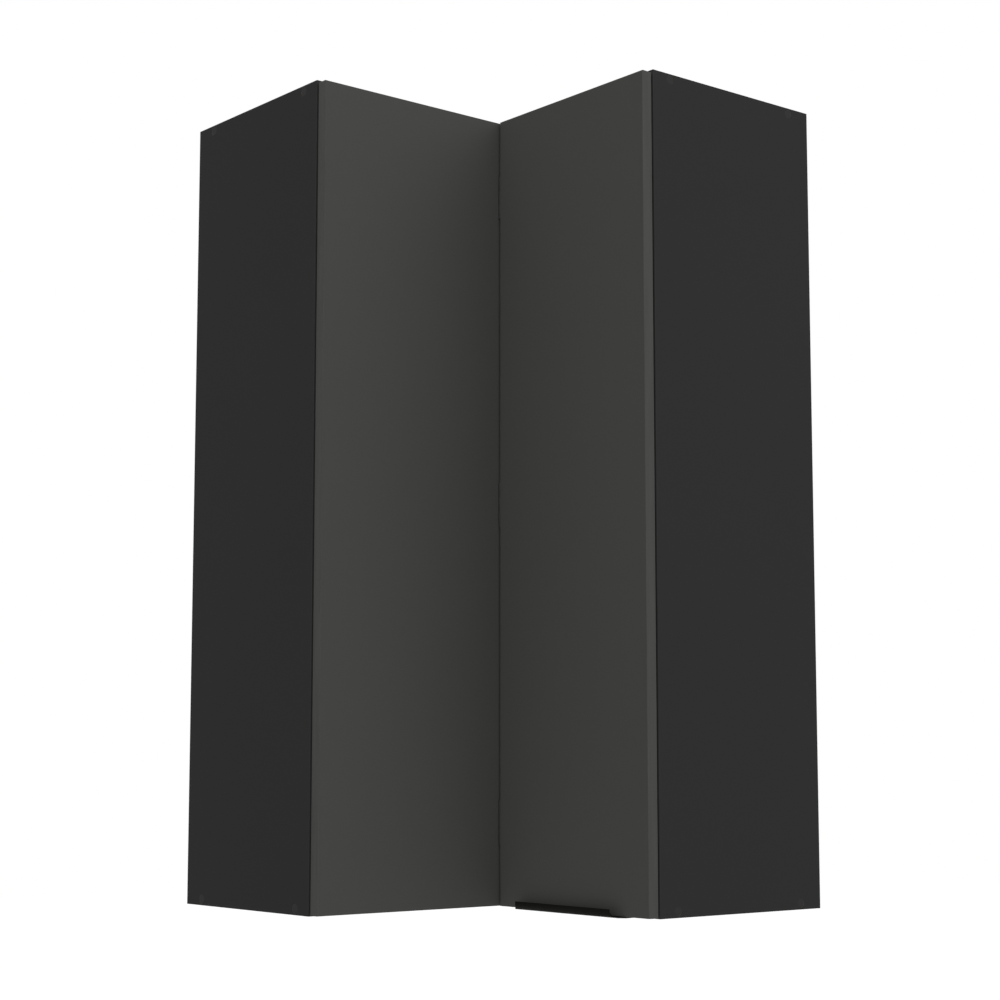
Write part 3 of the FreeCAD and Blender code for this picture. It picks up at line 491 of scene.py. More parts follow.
@dataclass(frozen=True)
class Hardboard:
    """Pressed fibre sheet: bare brown towards the wall, dark foil towards the inside."""

    name: str
    inside: Colour
    faces: Axis
    outward: float
    roughness: Span = (0.66, 0.72)
    specular: float = 0.1
    fibre: Pattern = Pattern(620.0, 4.0, 0.65, (1.0, 1.0, 0.35))
    fibre_dark: Colour = (0.085, 0.048, 0.026)
    fibre_light: Colour = (0.19, 0.115, 0.062)
    blotch: Pattern = Pattern(14.0, 3.0)
    blotch_share: float = 0.35
    blotch_shade: float = 1.3
    foil: Pattern = Pattern(3.0)
    foil_shades: Span = (0.96, 1.05)
    sheen: Pattern = Pattern(420.0)
    grain: Pattern = Pattern(1500.0, 3.0, 0.6)

    def build(self) -> bpy.types.Material:
        """Make the material.

        Returns:
            The finished material.
        """
        graph = Graph(bpy.data.materials.new(self.name))
        fibre = graph.spread(graph.noise(self.fibre))
        blotch = graph.spread(graph.noise(self.blotch), (0.0, self.blotch_share))
        brown = graph.blend(fibre, self.fibre_dark, self.fibre_light)
        brown = graph.blend(blotch, brown, shade(self.fibre_dark, self.blotch_shade))
        facing = graph.split(graph.coords.outputs["Normal"], self.faces)
        inner = graph.math("LESS_THAN", graph.math("MULTIPLY", facing, self.outward), -0.5)
        foil = graph.blend(graph.spread(graph.noise(self.foil)),
                           *shades(self.inside, self.foil_shades))
        rough = graph.spread(graph.noise(self.sheen), self.roughness)
        bend = graph.bump(graph.noise(self.grain), distance=0.04 * MM, strength=0.6)
        return graph.shader(Base_Color=graph.blend(inner, brown, foil), Roughness=rough,
                            Normal=bend, Specular_IOR_Level=self.specular)


@dataclass(frozen=True)
class Metal:
    """Bare or plated metal with fine rolling marks."""

    name: str
    colour: Colour
    tint: Colour
    roughness: Span
    stain: Pattern = Pattern(85.0, 3.0, 0.6)
    stain_share: float = 0.6
    marks: Pattern = Pattern(1900.0, 2.0, 0.6, (1.0, 1.0, 0.08))

    def build(self) -> bpy.types.Material:
        """Make the material.

        Returns:
            The finished material.
        """
        graph = Graph(bpy.data.materials.new(self.name))
        stain = graph.spread(graph.noise(self.stain), (0.0, self.stain_share))
        marks = graph.noise(self.marks)
        return graph.shader(Base_Color=graph.blend(stain, self.colour, self.tint), Metallic=1.0,
                            Roughness=graph.spread(marks, self.roughness),
                            Normal=graph.bump(marks, distance=0.001 * MM, strength=0.12))


@dataclass(frozen=True)
class PowderCoat:
    """Fine matt powder coat over bent metal."""

    name: str
    colour: Colour
    roughness: Span
    specular: float
    grain: Pattern = Pattern(1600.0, 2.0, 0.6)
    grain_shades: Span = (0.85, 1.2)
    sheen: Pattern = Pattern(160.0)
    peel: Pattern = Pattern(520.0, 1.0)

    def build(self) -> bpy.types.Material:
        """Make the material.

        Returns:
            The finished material.
        """
        graph = Graph(bpy.data.materials.new(self.name))
        grain = graph.noise(self.grain)
        tone = graph.blend(graph.spread(grain), *shades(self.colour, self.grain_shades))
        rough = graph.spread(graph.noise(self.sheen), self.roughness)
        fine = graph.bump(grain, distance=0.03 * MM, strength=0.6)
        peel = graph.bump(graph.noise(self.peel), distance=0.04 * MM, strength=0.35, below=fine)
        return graph.shader(Base_Color=tone, Roughness=rough, Normal=peel,
                            Specular_IOR_Level=self.specular)


@dataclass(frozen=True)
class Moulded:
    """Moulded plastic or rubber with a faint spark texture."""

    name: str
    colour: Colour
    roughness: Span
    specular: float = 0.3
    cloud: Pattern = Pattern(60.0)
    cloud_shades: Span = (0.95, 1.05)
    spark: Pattern = Pattern(1300.0, 2.0, 0.6)

    def build(self) -> bpy.types.Material:
        """Make the material.

        Returns:
            The finished material.
        """
        graph = Graph(bpy.data.materials.new(self.name))
        cloud = graph.spread(graph.noise(self.cloud))
        tone = graph.blend(cloud, *shades(self.colour, self.cloud_shades))
        spark = graph.noise(self.spark)
        return graph.shader(Base_Color=tone, Roughness=graph.spread(spark, self.roughness),
                            Normal=graph.bump(spark, distance=0.03 * MM, strength=0.4),
                            Specular_IOR_Level=self.specular)


@dataclass(frozen=True)
class Beech:
    """Turned beech with a fine straight grain."""

    name: str
    dark: Colour = (0.33, 0.19, 0.095)
    light: Colour = (0.55, 0.37, 0.21)
    roughness: Span = (0.55, 0.7)
    specular: float = 0.3
    grain: Pattern = Pattern(700.0, 4.0, 0.6, (0.12, 0.12, 1.0))
    fleck: Pattern = Pattern(1900.0, 1.0)
    fleck_share: float = 0.4

    def build(self) -> bpy.types.Material:
        """Make the material.

        Returns:
            The finished material.
        """
        graph = Graph(bpy.data.materials.new(self.name))
        grain = graph.spread(graph.noise(self.grain))
        fleck = graph.spread(graph.noise(self.fleck), (0.0, self.fleck_share))
        tone = graph.blend(grain, self.light, self.dark)
        tone = graph.blend(fleck, tone, self.dark)
        return graph.shader(Base_Color=tone, Roughness=graph.spread(grain, self.roughness),
                            Normal=graph.bump(grain, distance=0.05 * MM, strength=0.5),
                            Specular_IOR_Level=self.specular)


LEAF_GREY: Colour = (0.0650, 0.0660, 0.0612)
BAND_GREY: Colour = (0.0640, 0.0650, 0.0605)
CARCASS_BLACK: Colour = (0.0272, 0.0272, 0.0272)
HANDLE_BLACK: Colour = (0.0070, 0.0070, 0.0056)
STEEL_BLACK: Colour = (0.0110, 0.0110, 0.0110)


class Finishes:
    """Every finish of the cabinet, built once."""

    def __init__(self) -> None:
        """Build the materials."""
        self.right_leaf = Laminate("leaf_laminate_right", LEAF_GREY, Axis.Y).build()
        self.left_leaf = Laminate("leaf_laminate_left", LEAF_GREY, Axis.X).build()
        self.right_end = Laminate("carcass_laminate_right", CARCASS_BLACK, Axis.X).build()
        self.left_end = Laminate("carcass_laminate_left", CARCASS_BLACK, Axis.Y).build()
        self.flat_board = Laminate("carcass_laminate_flat", CARCASS_BLACK, Axis.Z).build()
        self.leaf_band = EdgeBand("leaf_band", BAND_GREY).build()
        self.carcass_band = EdgeBand("carcass_band", shade(CARCASS_BLACK, 1.05)).build()
        self.right_back = Hardboard("hardboard_right", CARCASS_BLACK, Axis.Y, 1.0).build()
        self.left_back = Hardboard("hardboard_left", CARCASS_BLACK, Axis.X, -1.0).build()
        self.nickel = Metal("nickel_plate", (0.60, 0.59, 0.56), (0.50, 0.49, 0.46),
                            (0.25, 0.29)).build()
        self.zinc = Metal("zinc_plate", (0.54, 0.55, 0.55), (0.50, 0.47, 0.38),
                          (0.34, 0.38)).build()
        self.black_steel = PowderCoat("blackened_steel", STEEL_BLACK, (0.33, 0.44), 0.35).build()
        self.handle = PowderCoat("handle_coat", HANDLE_BLACK, (0.50, 0.61), 0.02).build()
        self.cap = Moulded("cap_plastic", shade(CARCASS_BLACK, 1.06), (0.45, 0.55), 0.05).build()
        self.hanger = Moulded("hanger_plastic", (0.55, 0.54, 0.50), (0.40, 0.50)).build()
        self.bumper = Moulded("bumper_rubber", (0.16, 0.16, 0.155), (0.30, 0.40)).build()
        self.beech = Beech("turned_beech").build()


# Mesh helpers


def as_mesh(name: str, shape: bmesh.types.BMesh) -> bpy.types.Mesh:
    """Turn a bmesh into a mesh.

    Args:
        name: The mesh's name.
        shape: The bmesh, which is freed.

    Returns:
        The new mesh.
    """
    mesh = bpy.data.meshes.new(name)
    shape.to_mesh(mesh)
    shape.free()
    return mesh


def add_object(name: str, data: bpy.types.ID) -> bpy.types.Object:
    """Put a mesh, lamp or camera in the scene.

    Args:
        name: The object's name.
        data: What it shows.

    Returns:
        The new object.
    """
    made = bpy.data.objects.new(name, data)
    bpy.context.scene.collection.objects.link(made)
    return made


def show(name: str, shape: bmesh.types.BMesh, finish: bpy.types.Material,
         body: Body, replaced: tuple[str, ...]) -> bpy.types.Object:
    """Turn a finished bmesh into a piece that rides on a body.

    Args:
        name: The piece's name.
        shape: The bmesh, which is freed.
        finish: The piece's material.
        body: The body that carries it.
        replaced: The CAD nodes that it stands for.

    Returns:
        The new object.

    Raises:
        ValueError: If the bmesh has no faces.
    """
    if not shape.faces:
        raise ValueError("%s has no faces" % name)
    mesh = as_mesh(name, shape)
    mesh.materials.append(finish)
    mesh.shade_smooth()
    mesh.set_sharp_from_angle(angle=SMOOTH_ANGLE)
    piece = add_object(name, mesh)
    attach(piece, body.value)
    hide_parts(*replaced)
    log.info("%s: %d faces on %s", name, len(mesh.polygons), body.value)
    return piece


def dress(node: str, finish: bpy.types.Material) -> None:
    """Give a carried-over CAD node its finish.

    Args:
        node: The node's name.
        finish: The material.
    """
    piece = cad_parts[node]
    piece.data.materials.clear()
    piece.data.materials.append(finish)


def merged_copy(node: str) -> bmesh.types.BMesh:
    """Copy a CAD node, with its loose triangles joined and its flat faces made whole.

    Args:
        node: The node's name.

    Returns:
        The new bmesh.
    """
    shape = bmesh.new()
    shape.from_mesh(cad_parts[node].data)
    bmesh.ops.remove_doubles(shape, verts=shape.verts, dist=WELD_DISTANCE)
    bmesh.ops.dissolve_limit(shape, angle_limit=FLAT_ANGLE, verts=shape.verts,
                             edges=shape.edges)
    return shape


def solid_boxes(node: str) -> list[tuple[Vector, Vector]]:
    """The corners of each separate solid in a CAD node.

    Args:
        node: The node's name.

    Returns:
        The lowest and highest corner of each solid.
    """
    shape = merged_copy(node)
    waiting = set(shape.verts)
    boxes = []
    while waiting:
        front = [waiting.pop()]
        island = []
        while front:
            vert = front.pop()
            island.append(vert.co.copy())
            for edge in vert.link_edges:
                other = edge.other_vert(vert)
                if other in waiting:
                    waiting.remove(other)
                    front.append(other)
        low = Vector([min(point[axis] for point in island) for axis in range(3)])
        high = Vector([max(point[axis] for point in island) for axis in range(3)])
        boxes.append((low, high))
    shape.free()
    return sorted(boxes, key=lambda corners: tuple(corners[0]))


def turned_to(direction: Vector) -> Matrix:
    """The rotation that takes +Z to a direction."""
    return direction.to_track_quat("Z", "Y").to_matrix().to_4x4()


def lathe(profile: list[tuple[float, float]], steps: int) -> bmesh.types.BMesh:
    """Spin an open profile about Z into a closed shape.

    Args:
        profile: Points as (radius, height), starting and ending on the axis.
        steps: Facets round the axis.

    Returns:
        The closed bmesh, facing outwards.
    """
    shape = bmesh.new()
    verts = [shape.verts.new((radius, 0.0, height)) for radius, height in profile]
    edges = [shape.edges.new(pair) for pair in zip(verts, verts[1:])]
    bmesh.ops.spin(shape, geom=verts + edges, cent=(0, 0, 0), axis=(0, 0, 1), dvec=(0, 0, 0),
                   angle=math.tau, steps=steps, use_merge=True, use_duplicate=False)
    bmesh.ops.remove_doubles(shape, verts=shape.verts, dist=POLE_DISTANCE)
    bmesh.ops.recalc_face_normals(shape, faces=shape.faces)
    return shape


def carved(shape: bmesh.types.BMesh, cutter: bmesh.types.BMesh) -> bmesh.types.BMesh:
    """Take one closed shape out of another.

    Args:
        shape: The shape that stays, which is freed.
        cutter: The shape taken out, which is freed.

    Returns:
        What is left.
    """
    stock = add_object("stock", as_mesh("stock", shape))
    tool = add_object("tool", as_mesh("tool", cutter))
    step = stock.modifiers.new("cut", "BOOLEAN")
    step.operation = "DIFFERENCE"
    step.solver = "EXACT"
    step.object = tool
    graph = bpy.context.evaluated_depsgraph_get()
    result = bmesh.new()
    result.from_mesh(bpy.data.meshes.new_from_object(stock.evaluated_get(graph)))
    for piece in (stock, tool):
        mesh = piece.data
        bpy.data.objects.remove(piece)
        bpy.data.meshes.remove(mesh)
    return result


def join_copies(shape: bmesh.types.BMesh, places: list[Matrix]) -> bmesh.types.BMesh:
    """One bmesh with a copy of a shape at each place.

    Args:
        shape: The shape, which is freed.
        places: The transform of each copy.

    Returns:
        The joined bmesh.
    """
    mesh = as_mesh("copy", shape)
    joined = bmesh.new()
    for place in places:
        start = len(joined.verts)
        joined.from_mesh(mesh)
        joined.verts.ensure_lookup_table()
        bmesh.ops.transform(joined, matrix=place, verts=joined.verts[start:])
    bpy.data.meshes.remove(mesh)
    return joined


# Sub-assemblies


@dataclass
class Carcass:
    """The boards, backs, caps and hidden fixings of the carcass."""

    finishes: Finishes
    cap_bevel: float = 0.3 * MM
    cap_spread: float = 0.06 * MM
    cap_steps: int = 48
    rim_steps: int = 3
    dish_share: float = 0.72

    def dress_boards(self) -> None:
        """Put the laminate, bands and hardboard on the boards."""
        chosen = self.finishes
        dress("right_end_panel", chosen.right_end)
        dress("left_end_panel", chosen.left_end)
        for node in ("top_panel", "bottom_panel", "shelf_low", "shelf_high"):
            dress(node, chosen.flat_board)
        for node in ("rear_corner_post", "carcass_edge_bands", "shelf_edge_bands"):
            dress(node, chosen.carcass_band)
        dress("right_back_sheet", chosen.right_back)
        dress("left_back_sheet", chosen.left_back)

    def dress_fixings(self) -> None:
        """Give the plain fixings their finish."""
        dress("dowels", self.finishes.beech)
        for node in ("confirmat_screws", "back_nails"):
            dress(node, self.finishes.zinc)

    def build_caps(self) -> bpy.types.Object:
        """Make the round caps with a soft rim and a shallow dish.

        Returns:
            The caps as one piece.
        """
        places = []
        radius = 0.0
        thickness = 1.0
        for low, high in solid_boxes("screw_caps"):
            size = high - low
            axis = Axis.X if size.x < size.y else Axis.Y
            outward = Vector((1, 0, 0)) if axis is Axis.X else Vector((0, -1, 0))
            radius = size.z / 2 + self.cap_spread
            thickness = size[axis.value]
            centre = (low + high) / 2 - outward * thickness / 2
            places.append(Matrix.Translation(centre) @ turned_to(outward))
        rim = self.cap_bevel
        profile = [(0.0, 0.0), (radius, 0.0), (radius, thickness - rim)]
        for step in range(1, self.rim_steps + 1):
            angle = math.pi / 2 * step / self.rim_steps
            profile.append((radius - rim + rim * math.cos(angle),
                            thickness - rim + rim * math.sin(angle)))
        profile.append((radius * self.dish_share, thickness))
        profile.append((0.0, thickness - rim / 2))
        shape = join_copies(lathe(profile, self.cap_steps), places)
        return show("screw_caps_soft", shape, self.finishes.cap, Body.CARCASS,
                    ("screw_caps",))


@dataclass
class ShelfPins:
    """Turned pins under the shelves, each with a collar against the board that holds it."""

    finish: bpy.types.Material
    reach: float = 8.0 * MM
    collar_reach: float = 0.9 * MM
    collar_thickness: float = 0.8 * MM
    collar_square_share: float = 0.7
    chamfer: float = 0.4 * MM
    nose_share: float = 0.4
    flat_share: float = 0.55
    nose_steps: int = 4
    steps: int = 28

    def one_pin(self, radius: float, length: float) -> bmesh.types.BMesh:
        """Make one pin that stands up, with its held end at the bottom.

        Args:
            radius: The pin's radius.
            length: Its whole length.

        Returns:
            The closed bmesh.
        """
        face = length - self.reach
        collar = radius + self.collar_reach
        collar_top = face + self.collar_thickness
        square_top = face + self.collar_thickness * self.collar_square_share
        profile = [(0.0, 0.0), (radius - self.chamfer, 0.0), (radius, self.chamfer),
                   (radius, face), (collar, face), (collar, square_top),
                   (collar - self.chamfer / 2, collar_top), (radius, collar_top)]
        flat = self.flat_share
        for step in range(self.nose_steps + 1):
            angle = math.pi / 2 * step / self.nose_steps
            profile.append((radius * (flat + (1.0 - flat) * math.cos(angle)),
                            length - radius * self.nose_share * (1.0 - math.sin(angle))))
        profile.append((0.0, length))
        return lathe(profile, self.steps)

    def build(self) -> bpy.types.Object:
        """Stand a pin at each solid of the CAD node.

        Returns:
            The pins as one piece.
        """
        places = []
        radius = 0.0
        length = 0.0
        middle = (CAD_BOX[1].x - CAD_BOX[0].x) / 2
        for low, high in solid_boxes("shelf_pins"):
            size = high - low
            centre = (low + high) / 2
            axis = Axis.X if size.x > size.y else Axis.Y
            outward = Vector((0, 1, 0))
            if axis is Axis.X:
                outward = Vector((-1 if centre.x > middle else 1, 0, 0))
            radius = size.z / 2
            length = size[axis.value]
            places.append(Matrix.Translation(centre - outward * length / 2) @ turned_to(outward))
        shape = join_copies(self.one_pin(radius, length), places)
        return show("shelf_pins_turned", shape, self.finish, Body.CARCASS,
                    ("shelf_pins",))


@dataclass
class SoftenedNodes:
    """Hardware whose CAD solids get rounded edges."""

    finish: bpy.types.Material
    slot: Slot
    body: Body
    nodes: tuple[str, ...]
    width: float = 0.25 * MM
    sharp_angle: float = 35.0
    segments: int = 2

    def shaped(self, node: str) -> bmesh.types.BMesh:
        """The node's shape before its edges are softened."""
        return merged_copy(node)

    def build(self) -> None:
        """Replace each node with a copy that has soft edges."""
        for node in self.nodes:
            shape = self.shaped(node)
            edges = [edge for edge in shape.edges if len(edge.link_faces) == 2
                     and edge.calc_face_angle(0.0) > math.radians(self.sharp_angle)]
            bmesh.ops.bevel(shape, geom=edges, offset=self.width, offset_type="OFFSET",
                            segments=self.segments, profile=0.5, affect="EDGES",
                            clamp_overlap=True, material=-1)
            bmesh.ops.triangulate(shape, faces=[face for face in shape.faces
                                                if len(face.verts) > 4])
            show("%s_soft" % node, shape, self.finish, self.body, (node,))


@dataclass
class HangerHousing(SoftenedNodes):
    """A moulded housing with a sunk panel in the face that looks into the cabinet."""

    inward: Vector = field(default_factory=lambda: Vector((-1, 0, 0)))
    facing_share: float = 0.99
    panel_rim: float = 3.5 * MM
    panel_slope: float = 0.5 * MM
    panel_depth: float = 0.9 * MM

    def shaped(self, node: str) -> bmesh.types.BMesh:
        """Sink the panel into the outermost face on the inner side.

        Args:
            node: The node's name.

        Returns:
            The closed bmesh with its panel.
        """
        shape = merged_copy(node)
        faces = [face for face in shape.faces if face.normal.dot(self.inward) > self.facing_share]
        panel = max(faces, key=lambda face: face.calc_center_median().dot(self.inward))
        for width, depth in ((self.panel_rim, 0.0), (self.panel_slope, -self.panel_depth)):
            bmesh.ops.inset_region(shape, faces=[panel], thickness=width, depth=depth,
                                   use_even_offset=True)
        return shape


@dataclass
class CrossHeadScrews:
    """Wood screws with a domed head and a cross recess."""

    name: str
    node: str
    axis: Axis
    head_at_high: bool
    head_height: float
    shank_radius: float
    body: Body
    finish: bpy.types.Material
    slot: Slot = Slot.FIXING
    steps: int = 28
    tip_radii: float = 3.0
    point_share: float = 0.25
    point_height_share: float = 0.15
    seat_share: float = 0.96
    dome_steps: int = 5
    crown_share: float = 0.35
    rim_share: float = 0.25
    recess_share: float = 0.62
    recess_depth_share: float = 0.6
    slot_share: float = 0.2

    def one_screw(self, head_radius: float, length: float) -> bmesh.types.BMesh:
        """Make one screw that points down, with the top of its head at the height of its length.

        Args:
            head_radius: The head's radius.
            length: The whole length.

        Returns:
            The closed bmesh.
        """
        seat = length - self.head_height
        tip = min(self.tip_radii * self.shank_radius, seat / 2)
        point = (self.shank_radius * self.point_share, tip * self.point_height_share)
        profile = [(0.0, 0.0), point, (self.shank_radius, tip), (self.shank_radius, seat),
                   (head_radius * self.seat_share, seat)]
        crown = self.crown_share
        rim = self.rim_share
        for step in range(self.dome_steps + 1):
            angle = math.pi / 2 * step / self.dome_steps
            profile.append((head_radius * (crown + (1.0 - crown) * math.cos(angle)),
                            seat + self.head_height * (rim + (1.0 - rim) * math.sin(angle))))
        profile.append((0.0, length))
        screw = lathe(profile, self.steps)
        reach = head_radius * self.recess_share
        depth = self.head_height * self.recess_depth_share
        scale = Matrix.Diagonal((2 * reach, 2 * reach * self.slot_share, 2 * depth, 1.0))
        lift = Matrix.Translation((0.0, 0.0, length))
        for turn in (0.0, math.pi / 2):
            bar = bmesh.new()
            bmesh.ops.create_cube(bar, size=1.0)
            spin = Matrix.Rotation(turn, 4, "Z")
            bmesh.ops.transform(bar, matrix=lift @ spin @ scale, verts=bar.verts)
            screw = carved(screw, bar)
        return screw

    def build(self) -> bpy.types.Object:
        """Stand a screw at each solid of the CAD node.

        Returns:
            The screws as one piece.
        """
        places = []
        head_radius = 0.0
        length = 0.0
        outward = Vector((0, 0, 0))
        outward[self.axis.value] = 1.0 if self.head_at_high else -1.0
        for low, high in solid_boxes(self.node):
            size = high - low
            head_radius = size.z / 2
            length = size[self.axis.value]
            foot = (low + high) / 2 - outward * length / 2
            places.append(Matrix.Translation(foot) @ turned_to(outward))
        shape = join_copies(self.one_screw(head_radius, length), places)
        return show(self.name, shape, self.finish, self.body, (self.node,))


@dataclass
class EdgeHandle:
    """The bent strip under the right leaf, with a curled lip and slanted ends."""

    finish: bpy.types.Material
    sheet: float = 1.5 * MM
    flange: float = 1.2 * MM
    curl_radius: float = 9.0 * MM
    forward: float = 6.0 * MM
    taper: float = 16.5 * MM
    lip_rise: float = 1.8 * MM
    edge_round: float = 0.35 * MM
    edge_angle: float = 50.0
    edge_segments: int = 3
    curl_steps: int = 14
    flange_steps: int = 4

    def outline(self) -> list[tuple[float, float]]:
        """The strip's closed section.

        Returns:
            Points as (y, z), from the rear flange's top round to the lip and back.
        """
        low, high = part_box("edge_handle")
        rear = high.y
        floor = low.z
        bend_y = low.y + self.curl_radius
        bend_z = floor + self.curl_radius
        inner = self.curl_radius - self.sheet
        lip_top = bend_z + self.lip_rise
        rear_round = self.flange
        points = [(rear, high.z)]
        for step in range(self.flange_steps + 1):
            angle = -math.pi / 2 * step / self.flange_steps
            points.append((rear - rear_round + rear_round * math.cos(angle),
                           floor + rear_round + rear_round * math.sin(angle)))
        for step in range(self.curl_steps + 1):
            angle = math.pi / 2 * step / self.curl_steps
            points.append((bend_y - self.curl_radius * math.sin(angle),
                           bend_z - self.curl_radius * math.cos(angle)))
        points.append((low.y, lip_top))
        points.append((low.y + self.sheet, lip_top))
        for step in range(self.curl_steps + 1):
            angle = math.pi / 2 * (1 - step / self.curl_steps)
            points.append((bend_y - inner * math.sin(angle), bend_z - inner * math.cos(angle)))
        points.append((rear - self.flange, floor + self.sheet))
        points.append((rear - self.flange, high.z))
        return points

    def build(self) -> bpy.types.Object:
        """Extrude the section, slant the ends and soften the edges.

        Returns:
            The handle.
        """
        low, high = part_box("edge_handle")
        shape = bmesh.new()
        verts = [shape.verts.new((low.x, y, z)) for y, z in self.outline()]
        face = shape.faces.new(verts)
        made = bmesh.ops.extrude_face_region(shape, geom=[face])
        moved = [item for item in made["geom"] if isinstance(item, bmesh.types.BMVert)]
        bmesh.ops.translate(shape, vec=(high.x - low.x, 0, 0), verts=moved)
        bmesh.ops.recalc_face_normals(shape, faces=shape.faces)
        front = low.y + self.curl_radius + self.forward
        run = self.curl_radius + self.forward
        for x, side in ((low.x, -1.0), (high.x, 1.0)):
            normal = Vector((side * run, -self.taper, 0)).normalized()
            cut = bmesh.ops.bisect_plane(shape, geom=shape.verts[:] + shape.edges[:]
                                         + shape.faces[:], dist=CUT_DISTANCE,
                                         plane_co=(x, front, 0), plane_no=normal,
                                         clear_outer=True)
            rim = [item for item in cut["geom_cut"] if isinstance(item, bmesh.types.BMEdge)]
            bmesh.ops.holes_fill(shape, edges=rim, sides=0)
        bmesh.ops.recalc_face_normals(shape, faces=shape.faces)
        edges = [edge for edge in shape.edges if len(edge.link_faces) == 2
                 and edge.calc_face_angle(0.0) > math.radians(self.edge_angle)]
        bmesh.ops.bevel(shape, geom=edges, offset=self.edge_round, offset_type="OFFSET",
                        segments=self.edge_segments, profile=0.5, affect="EDGES",
                        clamp_overlap=True, material=-1)
        return show("edge_handle_bent", shape, self.finish, Body.RIGHT_DOOR,
                    ("edge_handle",))


@dataclass
class Leaves:
    """The two leaves, their bands and the hardware on them."""

    finishes: Finishes

    def dress(self) -> None:
        """Put the laminate and the bands on the leaves."""
        dress("right_leaf", self.finishes.right_leaf)
        dress("left_leaf", self.finishes.left_leaf)
        dress("right_leaf_edge_bands", self.finishes.leaf_band)
        dress("left_leaf_edge_bands", self.finishes.leaf_band)
        for node in ("fold_pins", "fold_screws_right", "fold_screws_left"):
            dress(node, self.finishes.black_steel)

    def build_handle(self) -> None:
        """Make the edge handle and its screws."""
        EdgeHandle(self.finishes.handle).build()
        CrossHeadScrews("handle_screws_cross", "handle_screws", Axis.Y, head_at_high=True,
                        head_height=1.4 * MM, shank_radius=1.5 * MM, body=Body.RIGHT_DOOR,
                        finish=self.finishes.black_steel).build()

    def build_fold_hinges(self) -> None:
        """Soften the fold hinges between the leaves."""
        for side, body in (("right", Body.RIGHT_DOOR), ("left", Body.LEFT_DOOR)):
            nodes = tuple("fold_flap_%s_%s" % (side, height) for height in HINGE_HEIGHTS)
            SoftenedNodes(self.finishes.black_steel, Slot.FOLD_HINGE, body, nodes,
                          width=0.12 * MM).build()


@dataclass
class CupHinges:
    """The three concealed hinges of the right leaf."""

    finishes: Finishes

    def build(self) -> None:
        """Soften the stamped parts and stand the screws in them."""
        nickel = self.finishes.nickel
        for part, body, width in (("hinge_plate", Body.CARCASS, 0.3 * MM),
                                  ("hinge_arm", Body.CARCASS, 0.25 * MM),
                                  ("hinge_link", Body.LINKS, 0.25 * MM),
                                  ("hinge_cup", Body.RIGHT_DOOR, 0.2 * MM)):
            nodes = tuple("%s_%s" % (part, height) for height in HINGE_HEIGHTS)
            SoftenedNodes(nickel, Slot.HINGE, body, nodes, width).build()
        for node, axis, at_high, head, shank, body in (
                ("hinge_plate_screws", Axis.X, False, 1.6 * MM, 2.5 * MM, Body.CARCASS),
                ("hinge_arm_screws", Axis.X, False, 1.8 * MM, 2.0 * MM, Body.CARCASS),
                ("hinge_cup_screws", Axis.Y, True, 1.3 * MM, 1.6 * MM, Body.RIGHT_DOOR)):
            CrossHeadScrews("%s_cross" % node, node, axis, head_at_high=at_high,
                            head_height=head, shank_radius=shank, body=body,
                            finish=self.finishes.zinc).build()
        dress("hinge_root_pins", self.finishes.zinc)
        dress("hinge_cup_pins", self.finishes.zinc)


@dataclass
class WallHangers:
    """The two hangers with their hooks and screws."""

    finishes: Finishes

    def build(self) -> None:
        """Soften the housings and hooks, and finish the screws."""
        for side, body, inward in (("right", Body.RIGHT_HOOK, Vector((-1, 0, 0))),
                                   ("left", Body.LEFT_HOOK, Vector((0, 1, 0)))):
            HangerHousing(self.finishes.hanger, Slot.HANGER, Body.CARCASS,
                          ("%s_hanger" % side,), width=0.4 * MM, segments=3,
                          inward=inward).build()
            SoftenedNodes(self.finishes.zinc, Slot.HOOK, body, ("%s_hook" % side,),
                          width=0.3 * MM).build()
            dress("%s_hanger_screws" % side, self.finishes.zinc)


# Light and camera


@dataclass(frozen=True)
class Lamp:
    """One large soft lamp: its place, the side of its square in metres and its power in watts."""

    name: str
    place: Triple
    power: float
    size: float = 1.8

    def hang(self, target: Vector) -> None:
        """Hang the lamp.

        Args:
            target: What it points at.
        """
        data = bpy.data.lights.new(self.name, "AREA")
        data.size = self.size
        data.energy = self.power
        lamp = add_object(self.name, data)
        lamp.location = self.place
        lamp.rotation_mode = "QUATERNION"
        lamp.rotation_quaternion = (target - Vector(self.place)).to_track_quat("-Z", "Y")


